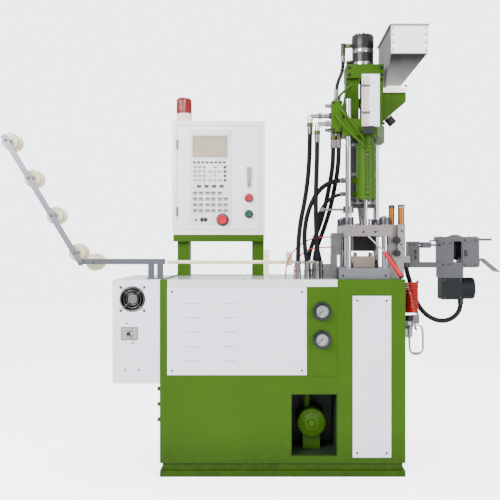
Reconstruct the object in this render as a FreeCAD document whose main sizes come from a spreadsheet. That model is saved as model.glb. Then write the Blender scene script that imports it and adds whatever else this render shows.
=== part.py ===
import FreeCAD, Part
import math
import os
import re
import Sketcher
from FreeCAD import Placement, Rotation, Vector

# A vertical injection moulding machine with its take-off unit and feed arm, in millimetres.
# X runs to the right, Y to the back and Z up. The origin is the middle of the base on the floor.
# Every size below is one cell of the sheet "Sizes", and a place is an expression of those cells.

SIZES = {
    # Base: plinth, cabinet, table cover and mould column
    "machine_depth": 600, "plinth_height": 80, "plinth_rebate": 11, "skirt_height": 28,
    "ledge_height": 18, "cabinet_left": 557, "column_seam": 244, "column_width": 305,
    "cabinet_height": 776, "cover_height": 32, "strip_width": 34, "sheet_wall": 4,
    "niche_left": 35, "niche_floor": 95, "niche_height": 277, "niche_depth": 260,
    "latch_width": 18, "latch_reach": 16, "latch_pitch": 70, "latch_low": 250,
    # Panels screwed on the front
    "panel_skin": 3, "louvre_panel_right": 104, "louvre_panel_low": 459, "louvre_length": 56,
    "louvre_slot": 7, "louvre_pitch": 64.75, "louvre_columns": 162, "louvre_first": 123,
    "louvre_low": 65, "column_panel_left": 311, "column_panel_width": 173,
    "column_panel_height": 727, "screw_head": 9, "screw_depth": 3, "screw_inset": 21,
    # Pressure gauges
    "gauge_x": 173, "gauge_low": 619, "gauge_pitch": 127, "gauge_flange": 85, "gauge_rim": 63,
    "gauge_depth": 28, "gauge_wall": 3, "needle_length": 22, "needle_width": 3, "hub_width": 8,
    # Pump motor in the niche
    "pump_x": 132, "pump_z": 220, "pump_width": 131, "pump_dome": 88, "pump_front": 100,
    "pump_pipe": 34,
    # Electrical box, cooling fan and breaker
    "box_width": 213, "box_low": 420, "box_height": 466, "box_back": 238, "fan_x": -680,
    "fan_z": 801, "fan_frame": 120, "fan_bore": 114, "fan_depth": 25, "fan_hub": 46,
    "guard_wire": 2.4, "breaker_x": -693, "breaker_z": 646, "breaker_width": 76,
    "breaker_height": 58, "toggle_width": 16, "toggle_length": 22,
    # Control cabinet on its stand
    "stand_left": 551, "stand_right": 93, "stand_height": 174, "tray_height": 34,
    "post_width": 60, "post_depth": 90, "cabinet_front": 100, "cabinet_back": 290,
    "control_left": 555, "control_right": 89, "control_height": 576, "control_rim": 25,
    "door_gap": 1.5, "hinge_width": 8, "door_thick": 20, "estop_x": -301, "estop_z": 1172, "estop_head": 48,
    "button_x": -168, "stop_z": 1282, "start_z": 1201, "button_head": 36, "button_stem": 22,
    "handle_x": -168, "handle_top": 1428, "handle_width": 28, "handle_length": 98,
    "beacon_x": -502, "beacon_width": 80, "beacon_base": 44, "beacon_lens": 84,
    # Feed arm with guide rollers, and the guide tube
    "arm_front": 200, "arm_tube": 25, "arm_z": 967, "pivot_x": -939, "pivot_z": 960,
    "arm_angle": 121.3, "arm_length": 694, "arm_thick": 8, "first_roller": 57,
    "roller_pitch": 204, "roller_width": 80, "roller_waist": 44, "roller_length": 70,
    "roller_y": -110, "pin_width": 12, "shoulder_width": 20, "tail_roller_x": -889,
    "post_left": -627, "post_pitch": 42, "tube_width": 17, "tube_bore": 11, "tube_right": 150,
    "tube_left": -550, "tube_z": 963, "bracket_x": -88, "bracket_width": 22,
    "bracket_height": 132, "block_x": 15, "block_width": 29,
    # Clamp: bolster, platen, tie bars and mould
    "axis_inset": 140, "axis_forward": 86, "bolster_left": 130, "bolster_right": 100, "bolster_height": 50,
    "platen_width": 216, "platen_depth": 352, "platen_height": 51, "daylight": 196,
    "tie_span": 168, "tie_reach": 272, "tie_bar": 28, "nut_width": 50, "nut_height": 38,
    "guide_rod_top": 1716, "mould_width": 100, "lower_mould": 52, "mould_gap": 25,
    "dowel_width": 10, "nozzle_bore": 60, "fit": 0.3,
    # Injection unit on its carriage
    "seat_low": 1546, "seat_height": 75, "seat_boss": 62, "head_low": 1830, "head_height": 66,
    "barrel_width": 70, "barrel_bore": 40, "jacket_width": 125, "jacket_low": 1222,
    "nozzle_tip": 24, "ram_width": 28, "piston_width": 72, "piston_height": 30,
    "ram_joint": 1720, "ram_stroke": 50, "cylinder_width": 101, "cylinder_height": 148,
    "lift_y": -196, "lift_width": 88, "lift_low": 1254, "lift_height": 252, "lift_bore": 60,
    "lift_rod": 16, "lift_piston": 1340, "lift_stroke": 60, "collar_height": 42,
    "scale_left": 357, "scale_width": 80, "scale_low": 1582, "scale_height": 238,
    "scale_thick": 22, "manifold_left": 221, "manifold_width": 49, "manifold_low": 1563,
    "manifold_height": 142,
    # Hopper
    "hopper_left": 489, "hopper_width": 165, "hopper_front": 270, "hopper_depth": 378,
    "throat_width": 72, "throat_z": 1787, "hopper_neck": 1800, "hopper_band": 1914,
    "hopper_top": 2049, "hopper_wall": 1.5,
    # Guide plate beside the mould
    "guide_width": 69, "guide_height": 251, "guide_front": 190, "guide_thick": 60,
    "bar_width": 34, "bar_low": 103, "bar_reach": 29, "lock_x": 523, "lock_low": 1006,
    "lock_pitch": 59, "lock_head": 30, "lock_stem": 10, "amber_width": 31, "amber_height": 91,
    # Take-off unit
    "arm_plate_low": 938, "arm_plate": 24, "arm_plate_right": 914, "takeoff_front": 150,
    "takeoff_depth": 100, "wheel_x": 839, "wheel_z": 1033, "wheel_width": 124,
    "wheel_thick": 18, "housing_top": 1061, "jaw_z": 1044, "jaw_stroke": 30,
    "motor_left": 751, "motor_square": 94, "motor_length": 157, "motor_size": 102,
    # Air service and tools
    "regulator_x": 583, "regulator_y": -200, "regulator_width": 30, "coil_width": 65,
    "coil_low": 719, "coil_height": 162, "coil_x": 596, "hank_x": 611, "hank_low": 542,
    "hank_height": 138, "hank_width": 82, "hank_thick": 22,
    # Cords
    "hose_width": 21, "thin_hose": 16, "air_tube": 6, "conduit_width": 22, "ferrule": 28,
}

DOC = FreeCAD.newDocument("moulding_machine")
SHEET = DOC.addObject("Spreadsheet::Sheet", "Sizes")
for row, (alias, value) in enumerate(SIZES.items(), start=1):
    SHEET.set(f"A{row}", alias)
    SHEET.set(f"B{row}", str(value))
    SHEET.setAlias(f"B{row}", alias)
DOC.recompute()

# Shared places
FRONT = "(-machine_depth / 2)"
BACK = "(machine_depth / 2)"
LEFT = "(-cabinet_left)"
SEAM = "column_seam"
RIGHT = "(column_seam + column_width)"
CABINET_TOP = "(plinth_height + cabinet_height)"
TABLE = "(plinth_height + cabinet_height + cover_height)"
AXIS_X = "(column_seam + axis_inset)"
AXIS_Y = "(-axis_forward)"
BOLSTER_TOP = f"({TABLE} + bolster_height)"
PLATEN_LOW = f"({TABLE} + daylight)"
PLATEN_TOP = f"({PLATEN_LOW} + platen_height)"
PLATEN_FRONT = f"({AXIS_Y} - platen_depth / 2)"
BOX_LEFT = "(-cabinet_left - box_width)"
CONTROL_LOW = f"({TABLE} + stand_height + tray_height)"
CONTROL_TOP = f"({CONTROL_LOW} + control_height)"
ARM_BACK = "(arm_tube - arm_front)"
SEAT_TOP = "(seat_low + seat_height)"
HEAD_TOP = "(head_low + head_height)"
GUIDE_TOP = f"({TABLE} + guide_height)"
GUIDE_LEFT = f"({AXIS_X} + platen_width / 2 + 2)"
GUIDE_RIGHT = f"({GUIDE_LEFT} + guide_width)"
TURN = {
    "X": Rotation(Vector(0, 1, 0), 90),
    "Y": Rotation(Vector(1, 0, 0), -90),
    "Z": Rotation(),
}
NODES = []


def in_sheet(text):
    """The expression with every named size pointed at its cell."""
    def cell(word):
        name = word.group(0)
        return "Sizes." + name if name in SIZES else name
    return re.sub(r"[a-z_][a-z_0-9]*", cell, str(text))


def number(text):
    """What an expression of named sizes comes to."""
    return float(SHEET.evalExpression(in_sheet(text)))


def box(x, y, z):
    """A block between two places along each axis."""
    item = DOC.addObject("Part::Box", "block")
    for side, axis, (low, high) in zip(("Length", "Width", "Height"), "xyz", (x, y, z)):
        item.setExpression(side, in_sheet(f"({high}) - ({low})"))
        item.setExpression(f"Placement.Base.{axis}", in_sheet(low))
    return item


def stand(item, axis, middle, start):
    """Turns an upright item to lie along an axis, at the two places across it."""
    item.Placement = Placement(Vector(), TURN[axis])
    places = list(middle)
    places.insert("XYZ".index(axis), start)
    for name, place in zip("xyz", places):
        item.setExpression(f"Placement.Base.{name}", in_sheet(place))
    return item


def rod(axis, middle, span, width):
    """A round bar of a given diameter between two places along an axis."""
    item = DOC.addObject("Part::Cylinder", "bar")
    item.setExpression("Radius", in_sheet(f"({width}) / 2"))
    item.setExpression("Height", in_sheet(f"({span[1]}) - ({span[0]})"))
    return stand(item, axis, middle, span[0])


def cone(axis, middle, span, width_low, width_high):
    """A tapered round bar between two places along an axis."""
    item = DOC.addObject("Part::Cone", "taper")
    item.setExpression("Radius1", in_sheet(f"({width_low}) / 2"))
    item.setExpression("Radius2", in_sheet(f"({width_high}) / 2"))
    item.setExpression("Height", in_sheet(f"({span[1]}) - ({span[0]})"))
    return stand(item, axis, middle, span[0])


def join(*items):
    """Several shapes made one."""
    whole = DOC.addObject("Part::MultiFuse", "joined")
    whole.Shapes = list(items)
    return whole


def group(*items):
    """Several separate solids kept apart in one sub-part."""
    whole = DOC.addObject("Part::Compound", "group")
    whole.Links = list(items)
    return whole


def cut(base, *tools):
    """A shape less one or more others."""
    result = DOC.addObject("Part::Cut", "cut")
    result.Base = base
    result.Tool = tools[0] if len(tools) == 1 else join(*tools)
    return result


def node(name, item):
    """Names a finished sub-part, and its file."""
    item.Label = name
    NODES.append(item)
    return item


def outline_sketch(body, plane, corners, start="0"):
    """A closed outline of straight edges in one of the body's planes, each corner held in place."""
    sketch = body.newObject("Sketcher::SketchObject", "outline")
    origin = [item for item in body.Origin.OriginFeatures if item.Role == plane][0]
    sketch.AttachmentSupport = [(origin, "")]
    sketch.MapMode = "FlatFace"
    sketch.setExpression("AttachmentOffset.Base.z", in_sheet(start))
    points = [Vector(number(across), number(up), 0) for across, up in corners]
    count = len(points)
    for index in range(count):
        sketch.addGeometry(Part.LineSegment(points[index], points[(index + 1) % count]), False)
    for index, corner in enumerate(corners):
        following = (index + 1) % count
        sketch.addConstraint(sketcher_joint(index, following))
        for kind, place, value in zip(("DistanceX", "DistanceY"), corner, points[index]):
            number_of = sketch.addConstraint(sketcher_place(kind, index, value))
            sketch.setExpression(f"Constraints[{number_of}]", in_sheet(place))
    return sketch


def sketcher_joint(index, following):
    """One edge's end held to the next edge's start."""
    return Sketcher.Constraint("Coincident", index, 2, following, 1)


def sketcher_place(kind, index, value):
    """An edge's start held at a distance from the sketch's origin."""
    return Sketcher.Constraint(kind, -1, 1, index, 1, value)


def padded_body(plane, corners, start, thick):
    """A plate: an outline given a thickness along its plane's normal."""
    body = DOC.addObject("PartDesign::Body", "plate")
    sketch = outline_sketch(body, plane, corners, start)
    pad = body.newObject("PartDesign::Pad", "pad")
    pad.Profile = sketch
    pad.setExpression("Length", in_sheet(thick))
    body.Tip = pad
    return body


def turned_body(corners, axis, middle, start):
    """A turned piece: an outline of radius and height spun once about its axis."""
    body = DOC.addObject("PartDesign::Body", "turned")
    sketch = outline_sketch(body, "XZ_Plane", corners)
    spin = body.newObject("PartDesign::Revolution", "spin")
    spin.Profile = sketch
    spin.ReferenceAxis = (sketch, ["V_Axis"])
    spin.Angle = 360
    body.Tip = spin
    return stand(body, axis, middle, start)


def base_frame():
    """The welded plinth and cabinet, with the pump niche open to the front."""
    skirt = box((LEFT, RIGHT), (FRONT, BACK), ("0", "skirt_height"))
    web_x = (f"{LEFT} + plinth_rebate", f"{RIGHT} - plinth_rebate")
    web_y = (f"{FRONT} + plinth_rebate", f"{BACK} - plinth_rebate")
    ledge_low = "(plinth_height - ledge_height)"
    web = box(web_x, web_y, ("skirt_height", ledge_low))
    ledge = box((LEFT, RIGHT), (FRONT, BACK), (ledge_low, "plinth_height"))
    hollow = box(
        (f"{LEFT} + plinth_rebate + sheet_wall * 2", f"{RIGHT} - plinth_rebate - sheet_wall * 2"),
        (f"{FRONT} + plinth_rebate + sheet_wall * 2", f"{BACK} - plinth_rebate - sheet_wall * 2"),
        ("sheet_wall * 2", "plinth_height - sheet_wall * 2"),
    )
    plinth = cut(join(skirt, web, ledge), hollow)
    skin = box((LEFT, SEAM), (FRONT, BACK), ("plinth_height", CABINET_TOP))
    niche_top = "(niche_floor + niche_height)"
    niche_back = f"({FRONT} + niche_depth)"
    wall = "sheet_wall"
    inner_right = f"{SEAM} - {wall}"
    roof = f"{CABINET_TOP} - {wall}"
    left_room = box(
        (f"{LEFT} + {wall}", f"niche_left - {wall}"),
        (f"{FRONT} + {wall}", f"{BACK} - {wall}"),
        (f"plinth_height + {wall}", roof),
    )
    upper_room = box(
        (f"niche_left - {wall}", inner_right),
        (f"{FRONT} + {wall}", f"{BACK} - {wall}"),
        (f"{niche_top} + {wall}", roof),
    )
    back_room = box(
        ("niche_left", inner_right),
        (f"{niche_back} + {wall}", f"{BACK} - {wall}"),
        (f"plinth_height + {wall}", niche_top),
    )
    niche = box(("niche_left", inner_right), (f"{FRONT} - 1", niche_back), ("niche_floor", niche_top))
    strip = box((LEFT, f"{LEFT} + strip_width"), (FRONT, BACK), (CABINET_TOP, TABLE))
    latches = []
    for index in range(3):
        height = f"latch_low + latch_pitch * {index}"
        latches.append(rod("X", (f"{FRONT} + 40", height), (f"{LEFT} - latch_reach", LEFT), "latch_width"))
    shell = cut(skin, left_room, upper_room, back_room, niche)
    return node("base_frame", join(plinth, shell, strip, *latches))


def mould_column():
    """The closed box column that carries the clamp."""
    outside = box((SEAM, RIGHT), (FRONT, BACK), ("plinth_height", TABLE))
    wall = "sheet_wall * 2"
    inside = box(
        (f"{SEAM} + {wall}", f"{RIGHT} - {wall}"),
        (f"{FRONT} + {wall}", f"{BACK} - {wall}"),
        (f"plinth_height + {wall}", f"{TABLE} - {wall}"),
    )
    return node("mould_column", cut(outside, inside))


def table_cover():
    """The folded cover on the cabinet, open underneath."""
    left = f"{LEFT} + strip_width"
    outside = box((left, SEAM), (FRONT, BACK), (CABINET_TOP, TABLE))
    inside = box(
        (f"{left} + panel_skin", f"{SEAM} - panel_skin"),
        (f"{FRONT} + panel_skin", f"{BACK} - panel_skin"),
        (f"{CABINET_TOP} - 1", f"{TABLE} - panel_skin"),
    )
    return node("table_cover", cut(outside, inside))


LOUVRE_X = (f"({LEFT} + strip_width)", "louvre_panel_right")
LOUVRE_Z = ("louvre_panel_low", f"({CABINET_TOP} - 1)")
COLUMN_X = ("column_panel_left", "(column_panel_left + column_panel_width)")
COLUMN_Z = ("(plinth_height + 8)", "(plinth_height + 8 + column_panel_height)")
SKIN_Y = (f"{FRONT} - panel_skin", FRONT)


def louvred_panel():
    """The vent panel with two columns of five slots, made as a pad, a pocket and two patterns."""
    corners = [(x, z) for x, z in (
        (LOUVRE_X[0], LOUVRE_Z[0]), (LOUVRE_X[1], LOUVRE_Z[0]),
        (LOUVRE_X[1], LOUVRE_Z[1]), (LOUVRE_X[0], LOUVRE_Z[1]))]
    body = padded_body("XZ_Plane", corners, f"-({FRONT})", "panel_skin")
    left = f"{LOUVRE_X[0]} + louvre_first - 35"
    low = f"{LOUVRE_Z[0]} + louvre_low"
    slot_corners = [(left, low), (f"{left} + louvre_length", low),
                    (f"{left} + louvre_length", f"{low} + louvre_slot"), (left, f"{low} + louvre_slot")]
    sketch = outline_sketch(body, "XZ_Plane", slot_corners, f"-({FRONT}) + panel_skin")
    slot = body.newObject("PartDesign::Pocket", "slot")
    slot.Profile = sketch
    slot.setExpression("Length", in_sheet("panel_skin"))
    body.Tip = slot
    both = body.newObject("PartDesign::MultiTransform", "slots")
    both.Originals = [slot]
    DOC.recompute()
    across = body.newObject("PartDesign::LinearPattern", "across")
    across.Direction = (sketch, ["H_Axis"])
    across.setExpression("Length", in_sheet("louvre_columns"))
    across.Occurrences = 2
    upward = body.newObject("PartDesign::LinearPattern", "upward")
    upward.Direction = (sketch, ["V_Axis"])
    upward.setExpression("Length", in_sheet("louvre_pitch * 4"))
    upward.Occurrences = 5
    both.Transformations = [across, upward]
    body.Tip = both
    return node("louvred_panel", body)


def column_panel():
    """The plain cover on the mould column."""
    return node("column_panel", box(COLUMN_X, SKIN_Y, COLUMN_Z))


def corner_places(x, z, inset):
    """The four screw places of a panel."""
    return [(across, up) for across in (f"{x[0]} + {inset}", f"{x[1]} - {inset}")
            for up in (f"{z[0]} + {inset}", f"{z[1]} - {inset}")]


def panel_screws():
    """The heads that hold the two front panels."""
    heads = []
    for x, z in ((LOUVRE_X, LOUVRE_Z), (COLUMN_X, COLUMN_Z)):
        for place in corner_places(x, z, "screw_inset"):
            head_y = (f"{FRONT} - panel_skin - screw_depth", f"{FRONT} - panel_skin")
            heads.append(rod("Y", place, head_y, "screw_head"))
    return node("panel_screws", group(*heads))


GAUGE_ROWS = ("gauge_low", "(gauge_low + gauge_pitch)")
GAUGE_BACK = f"({FRONT} - 6)"
GAUGE_FACE = f"({FRONT} - 6 - gauge_depth)"


def pressure_gauges():
    """Two dial gauges: a flange with a deep cup, and a glass in its rim."""
    solids = []
    for height in GAUGE_ROWS:
        middle = ("gauge_x", height)
        flange = rod("Y", middle, (GAUGE_BACK, FRONT), "gauge_flange")
        cup = rod("Y", middle, (GAUGE_FACE, GAUGE_BACK), "gauge_rim")
        room = rod("Y", middle, (f"{GAUGE_FACE} - 1", f"{GAUGE_BACK} - 5"), "gauge_rim - gauge_wall * 2")
        pin = rod("Y", middle, (f"{GAUGE_BACK} - 12", f"{GAUGE_BACK} - 5"), "3")
        solids.append(join(cut(join(flange, cup), room), pin))
        solids.append(rod("Y", middle, (f"{GAUGE_FACE} + 2", f"{GAUGE_FACE} + 4"), "gauge_rim - gauge_wall * 2"))
    return node("pressure_gauges", group(*solids))


def gauge_needle(name, height):
    """A needle on its hub, pointing down and left at zero."""
    hub = rod("Y", ("0", "0"), ("-2", "0"), "hub_width")
    blade = box(("-8", "needle_length"), ("-1.6", "-0.4"), ("-needle_width / 2", "needle_width / 2"))
    bore = rod("Y", ("0", "0"), ("-3", "1"), "3 + fit * 2")
    needle = cut(join(hub, blade), bore)
    needle.Placement = Placement(Vector(), Rotation(Vector(0, 1, 0), 135))
    needle.setExpression("Placement.Base.x", in_sheet("gauge_x"))
    needle.setExpression("Placement.Base.y", in_sheet(f"{GAUGE_BACK} - 8"))
    needle.setExpression("Placement.Base.z", in_sheet(height))
    return node(name, needle)


def pump_motor():
    """The hydraulic pump's motor, end on in the niche, with its foot and elbow pipe."""
    middle = ("pump_x", "pump_z")
    front = f"({FRONT} + pump_front)"
    body = rod("Y", middle, (front, f"{FRONT} + niche_depth"), "pump_width")
    dome = cone("Y", middle, (f"{front} - 14", front), "pump_dome * 0.7", "pump_dome")
    foot = box(("pump_x - 40", "pump_x + 40"), (f"{front} + 20", f"{front} + 120"), ("niche_floor", "pump_z - 40"))
    riser_y = f"{front} + 60"
    riser = rod("Z", ("pump_x - 20", riser_y), ("pump_z", "niche_floor + niche_height"), "pump_pipe")
    return node("pump_motor", join(body, dome, foot, riser))


def electrical_box():
    """The sheet steel box on the cabinet's side, with the fan's hole in its front."""
    front = (FRONT, f"{FRONT} + panel_skin")
    outside = box((BOX_LEFT, LEFT), (FRONT, "box_back"), ("box_low", "box_low + box_height"))
    inside = box(
        (f"{BOX_LEFT} + panel_skin", f"{LEFT} - panel_skin"),
        (f"{FRONT} + panel_skin", "box_back - panel_skin"),
        ("box_low + panel_skin", "box_low + box_height - panel_skin"),
    )
    hole = rod("Y", ("fan_x", "fan_z"), (f"{FRONT} - 1", f"{front[1]} + 1"), "fan_bore")
    plate = box(
        ("breaker_x - breaker_width / 2", "breaker_x + breaker_width / 2"),
        (f"{FRONT} - 4", FRONT),
        ("breaker_z - breaker_height / 2", "breaker_z + breaker_height / 2"),
    )
    ears = []
    for side in (-1, 1):
        middle = f"breaker_x + {side} * (toggle_width / 2 + 2 + fit)"
        ears.append(box((f"{middle} - 2", f"{middle} + 2"), (f"{FRONT} - 16", f"{FRONT} - 4"),
                        ("breaker_z - 6", "breaker_z + 6")))
    return node("electrical_box", join(cut(outside, inside, hole), plate, *ears))


def breaker_toggle():
    """The breaker's lever, rocking on a pin between its two ears."""
    width = ("breaker_x - toggle_width / 2", "breaker_x + toggle_width / 2")
    barrel = rod("X", (f"{FRONT} - 11", "breaker_z"), width, "10")
    lever = box(width, (f"{FRONT} - 11 - toggle_length", f"{FRONT} - 11"), ("breaker_z - 3", "breaker_z + 5"))
    return node("breaker_toggle", join(barrel, lever))


def fan_guard():
    """The fan's square frame behind the wall, and the wire guard in front of it."""
    behind = (f"{FRONT} + panel_skin", f"{FRONT} + panel_skin + fan_depth")
    middle = ("fan_x", "fan_z")
    half = "fan_frame / 2"
    square = box((f"fan_x - {half}", f"fan_x + {half}"), behind, (f"fan_z - {half}", f"fan_z + {half}"))
    bore = rod("Y", middle, (f"{behind[0]} - 1", f"{behind[1]} + 1"), "fan_bore")
    back_y = (f"{behind[1]} - 3", behind[1])
    spokes = [box(("fan_x - fan_bore / 2 - 1", "fan_x + fan_bore / 2 + 1"), back_y, ("fan_z - 4", "fan_z + 4")),
              rod("Y", middle, (f"{behind[0]} + 6", behind[1]), "6")]
    frame = join(cut(square, bore), *spokes)
    wire_y = (f"{FRONT} - 6", f"{FRONT} - 6 + guard_wire")
    parts = []
    for step in range(1, 5):
        ring = f"(fan_bore * {step} / 4 + 2)"
        outer = rod("Y", middle, wire_y, ring)
        parts.append(cut(outer, rod("Y", middle, (f"{wire_y[0]} - 1", f"{wire_y[1]} + 1"), f"{ring} - guard_wire * 2")))
    reach = "(fan_bore / 2 + 1)"
    wire = "guard_wire / 2"
    parts.append(box((f"fan_x - {reach}", f"fan_x + {reach}"), wire_y, (f"fan_z - {wire}", f"fan_z + {wire}")))
    parts.append(box((f"fan_x - {wire}", f"fan_x + {wire}"), wire_y, (f"fan_z - {reach}", f"fan_z + {reach}")))
    for across in (-1, 1):
        for up in (-1, 1):
            x = f"fan_x + {across} * (fan_frame / 2 - 7)"
            z = f"fan_z + {up} * (fan_frame / 2 - 7)"
            parts.append(rod("Y", (x, z), (f"{FRONT} - 7", FRONT), "9"))
            parts.append(guard_arm(x, z, across, up))
    return node("fan_guard", group(frame, join(*parts)))


def guard_arm(x, z, across, up):
    """A diagonal wire from the guard's outer ring to its corner screw."""
    arm = DOC.addObject("Part::Box", "arm")
    arm.setExpression("Length", in_sheet("fan_frame * 0.25"))
    arm.setExpression("Width", in_sheet("guard_wire"))
    arm.setExpression("Height", in_sheet("guard_wire"))
    angle = math.degrees(math.atan2(-up, -across))
    arm.Placement = Placement(Vector(), Rotation(Vector(0, -1, 0), angle))
    arm.setExpression("Placement.Base.x", in_sheet(x))
    arm.setExpression("Placement.Base.y", in_sheet(f"{FRONT} - 6"))
    arm.setExpression("Placement.Base.z", in_sheet(z))
    return arm


def fan_rotor():
    """The fan's hub with seven pitched blades."""
    behind = f"({FRONT} + panel_skin)"
    middle = ("fan_x", "fan_z")
    hub = rod("Y", middle, (f"{behind} + 2", f"{behind} + fan_depth - 5"), "fan_hub")
    parts = [hub]
    for index in range(7):
        blade = DOC.addObject("Part::Box", "blade")
        blade.setExpression("Length", in_sheet("fan_bore / 2 - fan_hub / 2 + 2"))
        blade.setExpression("Width", "1.5")
        blade.setExpression("Height", "14")
        lean = Rotation(Vector(1, 0, 0), 45)
        blade.Placement = Placement(Vector(), Rotation(Vector(0, -1, 0), 360 / 7 * index + 20) * lean)
        turn = math.radians(360 / 7 * index + 20)
        root = "(fan_hub / 2 - 6)"
        blade.setExpression("Placement.Base.x", in_sheet(f"fan_x + {root} * {math.cos(turn):.6f}"))
        blade.setExpression("Placement.Base.y", in_sheet(f"{behind} + fan_depth / 2 + 2"))
        blade.setExpression("Placement.Base.z", in_sheet(f"fan_z + {root} * {math.sin(turn):.6f}"))
        parts.append(blade)
    bore = rod("Y", middle, (f"{behind}", f"{behind} + fan_depth"), "6 + fit * 2")
    return node("fan_rotor", cut(join(*parts), bore))


STAND_X = ("(-stand_left)", "(-stand_right)")
POST_Y = ("cabinet_front + 30", "cabinet_front + 30 + post_depth")


def cabinet_stand():
    """Two posts and a tray that hold the control cabinet above the table."""
    tray_low = f"({TABLE} + stand_height)"
    tray = box(STAND_X, ("cabinet_front", "cabinet_back"), (tray_low, f"{tray_low} + tray_height"))
    left = box((f"{STAND_X[0]} + 18", f"{STAND_X[0]} + 18 + post_width"), POST_Y, (TABLE, tray_low))
    right = box((f"{STAND_X[1]} - post_width", STAND_X[1]), POST_Y, (TABLE, tray_low))
    return node("cabinet_stand", join(tray, left, right))


CONTROL_X = ("(-control_left)", "(-control_right)")
DOOR_X = (f"({CONTROL_X[0]} + control_rim)", f"({CONTROL_X[1]} - control_rim)")
DOOR_Z = (f"({CONTROL_LOW} + control_rim)", f"({CONTROL_TOP} - control_rim)")


HINGE_X = f"({DOOR_X[0]} - door_gap / 2)"
HINGE_Y = "(cabinet_front - hinge_width / 2)"


def control_cabinet():
    """The cabinet's shell, open where its door closes it."""
    outside = box(CONTROL_X, ("cabinet_front", "cabinet_back"), (CONTROL_LOW, CONTROL_TOP))
    mouth = box(
        (f"{DOOR_X[0]} - door_gap", f"{DOOR_X[1]} + door_gap"),
        ("cabinet_front - 1", "cabinet_front + door_thick + 4"),
        (f"{DOOR_Z[0]} - door_gap", f"{DOOR_Z[1]} + door_gap"),
    )
    inside = box(
        (f"{CONTROL_X[0]} + panel_skin", f"{CONTROL_X[1]} - panel_skin"),
        ("cabinet_front + door_thick + 3", "cabinet_back - panel_skin"),
        (f"{CONTROL_LOW} + panel_skin", f"{CONTROL_TOP} - panel_skin"),
    )
    side = box((f"{CONTROL_X[0]} - 10", CONTROL_X[0]), ("cabinet_front + 60", "cabinet_front + 120"),
               (f"{CONTROL_LOW} + 64", f"{CONTROL_LOW} + 140"))
    shell = cut(outside, mouth, inside)
    hinges = []
    for height in (f"{DOOR_Z[0]} + 60", f"{DOOR_Z[1]} - 120"):
        span = (height, f"{height} + 60")
        hinges.append(rod("Z", (HINGE_X, HINGE_Y), span, "hinge_width - fit * 2"))
        hinges.append(box((f"{HINGE_X} - 14", HINGE_X), (HINGE_Y, "cabinet_front"), span))
    return node("control_cabinet", join(shell, side, *hinges))


def control_door():
    """The door with its button bores and the swing handle's plate."""
    leaf = box(DOOR_X, ("cabinet_front", "cabinet_front + door_thick"), DOOR_Z)
    plate = box(("handle_x - handle_width / 2 - 1", "handle_x + handle_width / 2 + 1"),
                ("cabinet_front - 4", "cabinet_front"), ("handle_top - handle_length", "handle_top + 16"))
    stud = rod("Y", ("handle_x", "handle_top"), ("cabinet_front - 12", "cabinet_front"), "8")
    rings = []
    bores = []
    for x, z, stem, ring in BUTTONS:
        rings.append(rod("Y", (x, z), ("cabinet_front - 8", "cabinet_front"), f"{stem} + {ring}"))
        bores.append(rod("Y", (x, z), ("cabinet_front - 9", "cabinet_front + door_thick + 1"), f"{stem} + fit * 2"))
    return node("control_door", cut(join(leaf, plate, stud, *rings), *bores))


BUTTONS = (
    ("estop_x", "estop_z", "button_stem", "16"),
    ("button_x", "stop_z", "button_stem", "8"),
    ("button_x", "start_z", "button_stem", "8"),
)


def push_button(name, x, z, head_depth, head_width):
    """A turned button: a domed head on a stem that runs in the door's bore."""
    head = "6"
    corners = [
        ("0", "0"), (f"({head_width}) / 2 - 5", "0"), (f"({head_width}) / 2", head),
        (f"({head_width}) / 2", head_depth), ("button_stem / 2", head_depth),
        ("button_stem / 2", f"{head_depth} + 34"), ("0", f"{head_depth} + 34"),
    ]
    return node(name, turned_body(corners, "Y", (x, z), f"cabinet_front - 14 - {head_depth}"))


def door_handle():
    """The swing handle's lever, turning on the plate's stud."""
    front = ("cabinet_front - 18", "cabinet_front - 4.5")
    width = "(handle_width * 0.7)"
    lever = box((f"handle_x - {width} / 2", f"handle_x + {width} / 2"), front,
                ("handle_top - handle_length + 8", "handle_top"))
    boss = rod("Y", ("handle_x", "handle_top"), front, "handle_width")
    bore = rod("Y", ("handle_x", "handle_top"), ("cabinet_front - 13", "cabinet_front"), "8 + fit * 2")
    return node("door_handle", cut(join(lever, boss), bore))


def beacon():
    """The signal lamp: a turned foot and its domed lens."""
    middle = ("beacon_x", "cabinet_front + 55")
    foot = turned_body([("0", "0"), ("beacon_width / 2", "0"), ("beacon_width / 2", "beacon_base - 4"),
                        ("beacon_width / 2 - 4", "beacon_base"), ("0", "beacon_base")], "Z", middle, CONTROL_TOP)
    lens = turned_body([("0", "0"), ("beacon_width / 2 - 1", "0"), ("beacon_width / 2 - 1", "beacon_lens - 8"),
                        ("beacon_width / 2 - 9", "beacon_lens"), ("0", "beacon_lens")],
                       "Z", middle, f"{CONTROL_TOP} + beacon_base")
    return node("beacon", group(foot, lens))


def arm_frame(item, along="0"):
    """Puts a piece made along X from the pivot at the feed arm's own angle."""
    item.Placement = Placement(Vector(), Rotation(Vector(0, -1, 0), number("arm_angle")))
    item.setExpression("Placement.Rotation.Angle", in_sheet("arm_angle"))
    item.setExpression("Placement.Base.x", in_sheet("pivot_x"))
    item.setExpression("Placement.Base.z", in_sheet("pivot_z"))
    return item


def roller_along(index):
    """How far along the arm a roller's pin stands."""
    return f"(first_roller + roller_pitch * {index})"


PIN_END = "(roller_y + roller_length / 2 + 5)"
ROLLER_FRONT = "(roller_y - roller_length / 2)"


def roller_pin(x, z, plate_back):
    """A shouldered pin with a washer at its end, lying along Y behind its plate."""
    shoulder = rod("Y", (x, z), (plate_back, f"{ROLLER_FRONT} - fit"), "shoulder_width")
    pin = rod("Y", (x, z), (plate_back, PIN_END), "pin_width")
    washer = rod("Y", (x, z), (f"{PIN_END} - 4.5", PIN_END), "pin_width * 2")
    return join(shoulder, pin, washer)


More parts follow.
